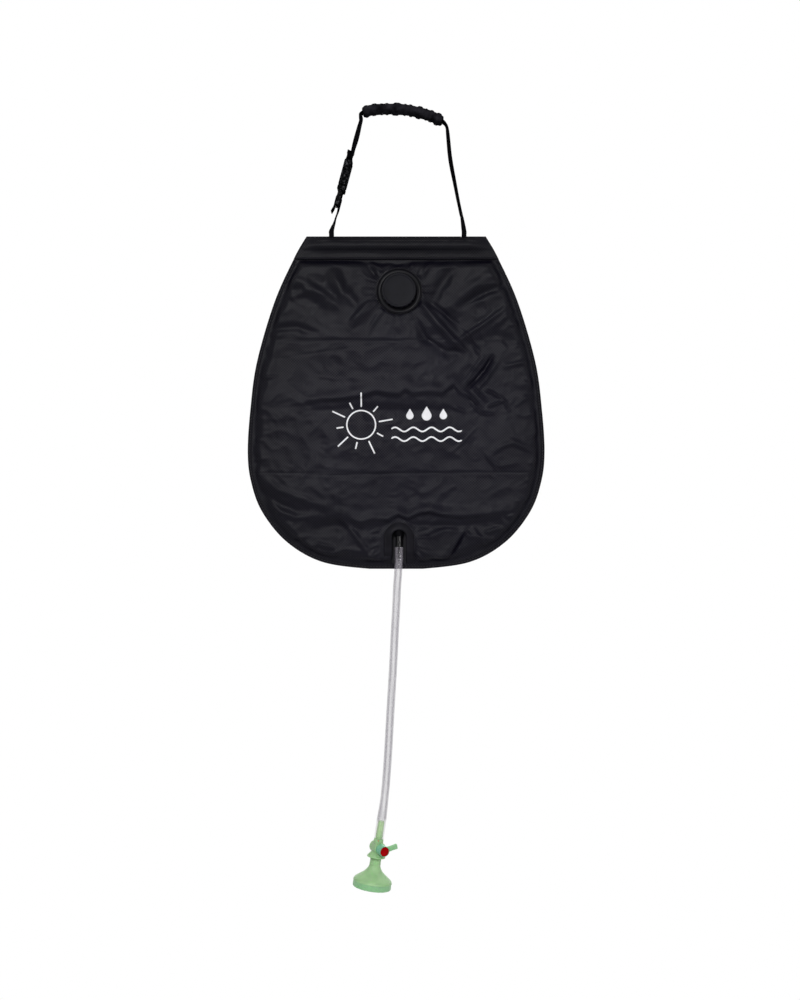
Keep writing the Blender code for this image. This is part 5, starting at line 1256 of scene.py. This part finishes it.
def add_grip():
    """A soft moulded sleeve with uneven ribs all round and a flat slot for the webbing."""
    line = grip_line(260)
    count = len(line) - 1
    length_mm, end_mm, corner = 112.0, 3.2, 0.77
    half_width_y, half_thick, slot_half_width, slot_half_thick = 0.0150, 0.0063, 0.0131, 0.00135
    outer, inner = [], []
    for i, (x, z) in enumerate(line):
        share = i / count
        run = Vector(line[min(i + 1, count)] - line[max(i - 1, 0)]).normalized()
        side = Vector((-run.y, run.x))
        from_end = min(min(share, 1 - share) * length_mm / end_mm, 1)
        close = 0.66 + 0.34 * math.sqrt(max(0.0, 1 - (1 - from_end) ** 2))
        ring, slot = [], []
        for angle in angles(56):
            c, s = math.cos(angle), math.sin(angle)
            rib = 0.0
            for top, foot, width, height in GRIP_RIBS:
                middle = top + (foot - top) * (0.5 - 0.5 * s)
                rib += 1.7 * height * math.exp(-(((share - middle) / width) ** 6) * 4.0)
            lump = 0.35 * noise.noise(Vector((share * 16, c * 1.6, s * 1.6)))
            lump += 0.16 * noise.noise(Vector((share * 60, c * 4, s * 4 + 9)))
            grow = (rib + lump - 0.55) * MM
            y = (half_width_y + 0.4 * grow) * squarish(c, corner) * (0.5 + 0.5 * close)
            n = (half_thick + grow) * squarish(s, corner) * close
            ring.append((x + side.x * n, y, z + side.y * n))
            reach = 1 / max(abs(c), abs(s))
            y, n = slot_half_width * c * reach, slot_half_thick * s * reach
            slot.append((x + side.x * n, y, z + side.y * n))
        outer.append(ring)
        inner.append(slot)
    obj = skin("grip_sleeve", outer + inner[::-1], wrap_rows=True)
    dress(obj, "handle", "grip_rubber", GRIP, "handle_grip")


# Filler
def add_filler():
    """Welded ring with a rounded lip, threaded neck, and the screw cap with its finger flutes."""
    outline = [
        (16.0, -3.0), (19.0, -3.0), (19.0, 0.35), (30.4, 0.32), (31.0, 0.7), (31.0, 2.2), (30.7, 2.9),
        (30.1, 3.2), (29.4, 3.1), (28.9, 2.6), (28.5, 2.25), (26.9, 2.15), (25.4, 2.3), (24.8, 2.3),
        (24.3, 1.7), (19.6, 1.6), (19.0, 2.2), (19.0, 7.4), (18.5, 8.0), (16.4, 8.0), (16.0, 7.6),
    ]
    ring = lathe("neck_ring", outline, 144, FILLER_PLACE, 0.3)
    turns, per_turn, pitch, thread_radius, start = 1.6, 60, 2.2, 19.05, 3.9
    line = []
    for i in range(int(turns * per_turn) + 1):
        share = i / per_turn
        spot = Vector((*polar(thread_radius, TURN * share), start + pitch * share))
        line.append(in_mm(FILLER_PLACE) @ spot)
    radii = [0.00052 * share for share in tapered(len(line), 0.05, 0.1)]
    thread = skin("neck_thread", tube_rings(line, radii, 10))
    dress(joined("filler_ring", [ring, thread]), "bag", "black_rubber", RING, "filler_flange")
    flutes, rim_radius, rim_top = 20, 22.2, 11.4

    def fluted(radius, height, angle):
        if radius < rim_radius or height > rim_top:
            return radius
        return radius - 0.75 * max(0.0, (math.cos(flutes * angle) - 0.15) / 0.85) ** 0.6

    outline = [
        (0.1, 10.1), (18.2, 10.1), (19.95, 9.8), (19.95, 3.7), (20.5, 3.45), (22.6, 3.45), (23.0, 3.9),
        (23.0, 10.9), (23.0, 11.5), (22.85, 12.1), (22.4, 12.6), (21.6, 12.62), (20.6, 12.6), (20.1, 12.35),
        (19.7, 12.2), (10.0, 12.16), (0.1, 12.15),
    ]
    cap = lathe("screw_cap", outline, 240, FILLER_PLACE, 0.25, fluted)
    dress(cap, "filler_cap", "black_plastic", CAP, "filler_cap")


# Outlet
def arch_stations(over):
    """(level, angle) up the outlet's left leg, over its arch and down its right leg."""
    legs = list(np.linspace(PANEL_BOTTOM_Z + 0.0065, ARCH_Z, 12))[:-1]
    top = [(ARCH_Z, math.pi - math.pi * i / over) for i in range(over + 1)]
    return [(z, math.pi) for z in legs] + top + [(z, 0.0) for z in legs[::-1]]


def arch_spot(radius, station):
    return polar(radius, station[1], OUTLET_X, station[0])


def spout_y(z):
    return SPOUT_TOP[1] + (z - SPOUT_TOP[2]) * math.tan(SPOUT_LEAN)


def seat_y(z):
    """The panel's face under the outlet's legs."""
    t = np.clip((z - PANEL_BOTTOM_Z - SEAM_WIDTH) / PUFF_RUN, 0, 1)
    return -float(SEAM_FACE + (PUFF - SEAM_FACE) * (1 - math.cos(math.pi * t)) / 2) - GAP


def add_outlet():
    """A welded rim round a deep recess, with the recess's floor."""
    # Distance from the arch line and height above the panel, in millimetres; None is the recess's depth
    section = (
        (20.0, 0), (20.0, 0.9), (19.6, 1.45), (18.9, 1.6), (18.0, 1.25), (17.0, 1.15), (12.6, 1.2),
        (11.4, 1.55), (10.6, 1.6), (9.8, 1.2), (9.4, 0.4), (9.3, None), (10.9, None), (10.9, 0),
    )
    recess_depth, floor_depths, floor_radius = 0.0069, (0.006, 0.0068), 0.0101
    rings, stations = [], arch_stations(40)
    for station in stations:
        seat, ring = seat_y(station[0]), []
        for radius, height in section:
            x, z = arch_spot(radius * MM, station)
            ring.append((x, spout_y(z) + recess_depth if height is None else seat - height * MM, z))
        rings.append(ring)
    rim = skin("outlet_frame", rings)
    edge = [arch_spot(floor_radius, station) for station in stations]
    slab = skin("recess_floor", [[(x, spout_y(z) + depth, z) for x, z in edge] for depth in floor_depths])
    dress(joined("outlet_rim", [rim, slab]), "bag", "black_rubber", RIM, "outlet_flange")


def add_spout():
    """The barbed spout that leaves through the recess's top, with its dark collar. The collar is the spout's
    root boss, made wider, longer and matte as painted shade for the top of the recess.
    """
    bore, slim, tip = 2.4, 2.95, -38.8
    outline = [(bore, 5.6), (bore, tip), (slim, tip)]
    for i in range(3):
        low = tip + 5.13 * i
        outline += [(3.36, low + 3.0), (3.36, low + 3.5), (slim, low + 4.0), (slim, low + 5.0)]
    outline += [
        (slim, -23.7), (4.1, -23.7), (4.55, -23.3), (4.6, -22.6), (4.6, -17.0), (4.45, -16.7), (4.6, -16.4),
        (4.6, 5.6),
    ]
    spout = lathe("spout", outline, 72, SPOUT_PLACE, 0.25)
    dress(spout, "bag", "black_plastic", GLOSS, "outlet_spout")
    # Dark matte collar: the spout's root boss, drawn wider and longer as painted shade for the top of the
    # recess
    outline = [(4.65, 5.3), (4.65, -9.0), (5.3, -9.0), (5.6, -8.5), (5.6, 4.9), (5.3, 5.3)]
    dress(lathe("spout_collar", outline, 56, SPOUT_PLACE, 0.2), "bag", "black_rubber", DARK)


# White print on the front
SUN_X, SUN_Z = -0.0495, -0.4202
SUN_RADIUS = 0.0193
RAY_START, LONG_RAY, SHORT_RAY = 0.0240, 0.0430, 0.0335
RAY_TURNS = (90, 118, 155, 188, 223, 257, 295, 332, 10, 48)
LINE_HALF = 0.00095
DROP_Z = -0.4080
# Place across and size of each drop
DROPS = ((0.0160, 0.0050), (0.0385, 0.0066), (0.0610, 0.0050))
WAVE_LEVELS = (-0.4265, -0.4395)
WAVE_START_X, WAVE_END_X = -0.0090, 0.0860
WAVE_HEIGHT, WAVE_RUN, WAVE_SHIFT = 0.0028, 0.0039, 0.010
INK, INK_RISE = 0.00008, 0.00012


def band(line, half, shares=None):
    """A flat strip of points and faces along a line of (x, z) points."""
    line = np.asarray(line, float)
    points = []
    for i, (spot, out) in enumerate(zip(line, -sideways(line))):
        reach = half * (1 if shares is None else shares[i])
        points += [spot + out * reach * c for c in (-1, -0.34, 0.34, 1)]
    return points, grid_faces(len(line), 4, wrap_columns=False)


def drop_shape(x, z, size):
    """A filled water drop, point upwards."""
    points, count, rings = [(x, z)], 40, 4
    for ring in range(1, rings + 1):
        for angle in angles(count):
            reach, pull = size * ring / rings, max(0.0, math.sin(angle)) ** 3
            aside, up = reach * math.cos(angle) * (1 - 0.55 * pull), reach * (math.sin(angle) + 0.85 * pull)
            points.append((x + aside, z + up))
    faces = [(0, 1 + k, 1 + (k + 1) % count) for k in range(count)]
    for a in range(1, 1 + (rings - 1) * count, count):
        b = a + count
        for k in range(count):
            faces.append((a + k, b + k, b + (k + 1) % count, a + (k + 1) % count))
    return points, faces


def turn_forwards(tool):
    tool.normal_update()
    for face in tool.faces:
        if face.normal.y > 0:
            face.normal_flip()


def add_print():
    """A plain sun with ten rays, and drops over waves, laid on the cloth."""
    shapes = [band([polar(SUN_RADIUS, a, SUN_X, SUN_Z) for a in np.linspace(0, TURN, 97)], LINE_HALF)]
    for k, turn in enumerate(RAY_TURNS):
        reaches = np.linspace(RAY_START, SHORT_RAY if k % 2 else LONG_RAY, 20)
        ray = [polar(r, math.radians(turn), SUN_X, SUN_Z) for r in reaches]
        shapes.append(band(ray, LINE_HALF * 1.05, tapered(20, 0.78, 0.22)))
    for x, size in DROPS:
        shapes.append(drop_shape(x, DROP_Z, size))
    across = np.linspace(WAVE_START_X, WAVE_END_X, 130)
    for level in WAVE_LEVELS:
        wave = [(x, level + WAVE_HEIGHT * math.sin((x + WAVE_SHIFT) / WAVE_RUN)) for x in across]
        shapes.append(band(wave, LINE_HALF * 1.15, tapered(len(across), 0.5, 0.25)))
    flat, faces = [], []
    for points, own in shapes:
        faces += [tuple(len(flat) + i for i in f) for f in own]
        flat += [tuple(p) for p in points]
    flat = np.array(flat)
    # The highest cloth nearby, so that no fold comes through the ink
    nearby = 0.0010
    steps = ((0, 0), (nearby, 0), (-nearby, 0), (0, nearby), (0, -nearby))
    y = np.min([front_y(flat + np.array(step)) for step in steps], axis=0)
    obj = mesh_object("front_print", [(x, depth - INK_RISE, z) for (x, z), depth in zip(flat, y)], faces)
    edit_mesh(obj.data, turn_forwards)
    wall = obj.modifiers.new("ink_thickness", "SOLIDIFY")
    wall.thickness, wall.offset = INK, 1
    dress(obj, "bag", "bag_cloth", PRINT)


# Surroundings
AMBIENT = 0.27
FLOOR_GLOW = 0.50
WHITE = (1.0, 1.0, 1.0)
FLOOR_Z = -1.32
# Name, watts, size, place and the point it shines at
LAMPS = (
    ("key", 24.0, 0.5, (-0.38, -1.85, 0.35), (0.0, 0.0, -0.5)),
    ("side", 8.0, 0.5, (1.05, -1.70, -0.25), (0.0, 0.0, -0.6)),
    ("back", 28.0, 0.5, (0.38, 1.85, 0.35), (0.0, 0.0, -0.5)),
)


def add_world():
    """White where it is seen, and a dimmer light on the object."""
    world = bpy.data.worlds.new("room")
    bpy.context.scene.world = world
    world.use_nodes = True
    world.node_tree.nodes.clear()
    room = Nodes(world.node_tree)
    seen = room.add("Clamp", {0: room.seen()}).outputs[0]
    shade = room.add("Background", {0: room.mixed(seen, (AMBIENT, AMBIENT, AMBIENT * 1.03), WHITE)})
    room.add("OutputWorld", {0: shade.outputs[0]})


def add_floor():
    corners = [(-0.8, -0.55), (0.8, -0.55), (0.8, 0.26), (-0.8, 0.26)]
    floor = mesh_object("floor", [(x, y, FLOOR_Z) for x, y in corners], [(0, 1, 2, 3)], smooth=False)
    look = Look("pale_floor")
    patches = look.noise(6.0)
    look.feed(look.shader, {
        "Base Color": look.mixed(patches, (0.84, 0.84, 0.845), (0.88, 0.88, 0.88)),
        "Roughness": look.spread(patches, 0.65, 0.8),
        "Emission Color": (*WHITE, 1.0),
        "Emission Strength": look.maths("MULTIPLY", look.seen(), FLOOR_GLOW),
    })
    floor.data.materials.append(look.material)


def add_lamps():
    for name, power, size, place, target in LAMPS:
        data = bpy.data.lights.new(name, "AREA")
        data.energy, data.shape, data.size = power, "DISK", size
        lamp = bpy.data.objects.new(name, data)
        bpy.context.scene.collection.objects.link(lamp)
        lamp.location = place
        lamp.rotation_euler = (Vector(target) - Vector(place)).to_track_quat("-Z", "Y").to_euler()


hose, hose_line = add_hose()
on_hose = [*add_valve(), *add_key(), *add_head()]
for cloth in add_panels():
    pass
add_binding()
add_stitches()
add_sleeve()
add_piping()
add_webbing()
add_grip()
for part in ("buckle_socket", "buckle_frame", "buckle_prong_front", "buckle_prong_back"):
    finish_node(part, BUCKLE, 0.0004)
add_filler()
add_outlet()
add_spout()
add_print()
add_world()
add_floor()
add_lamps()
bpy.context.scene.view_settings.view_transform = "Standard"
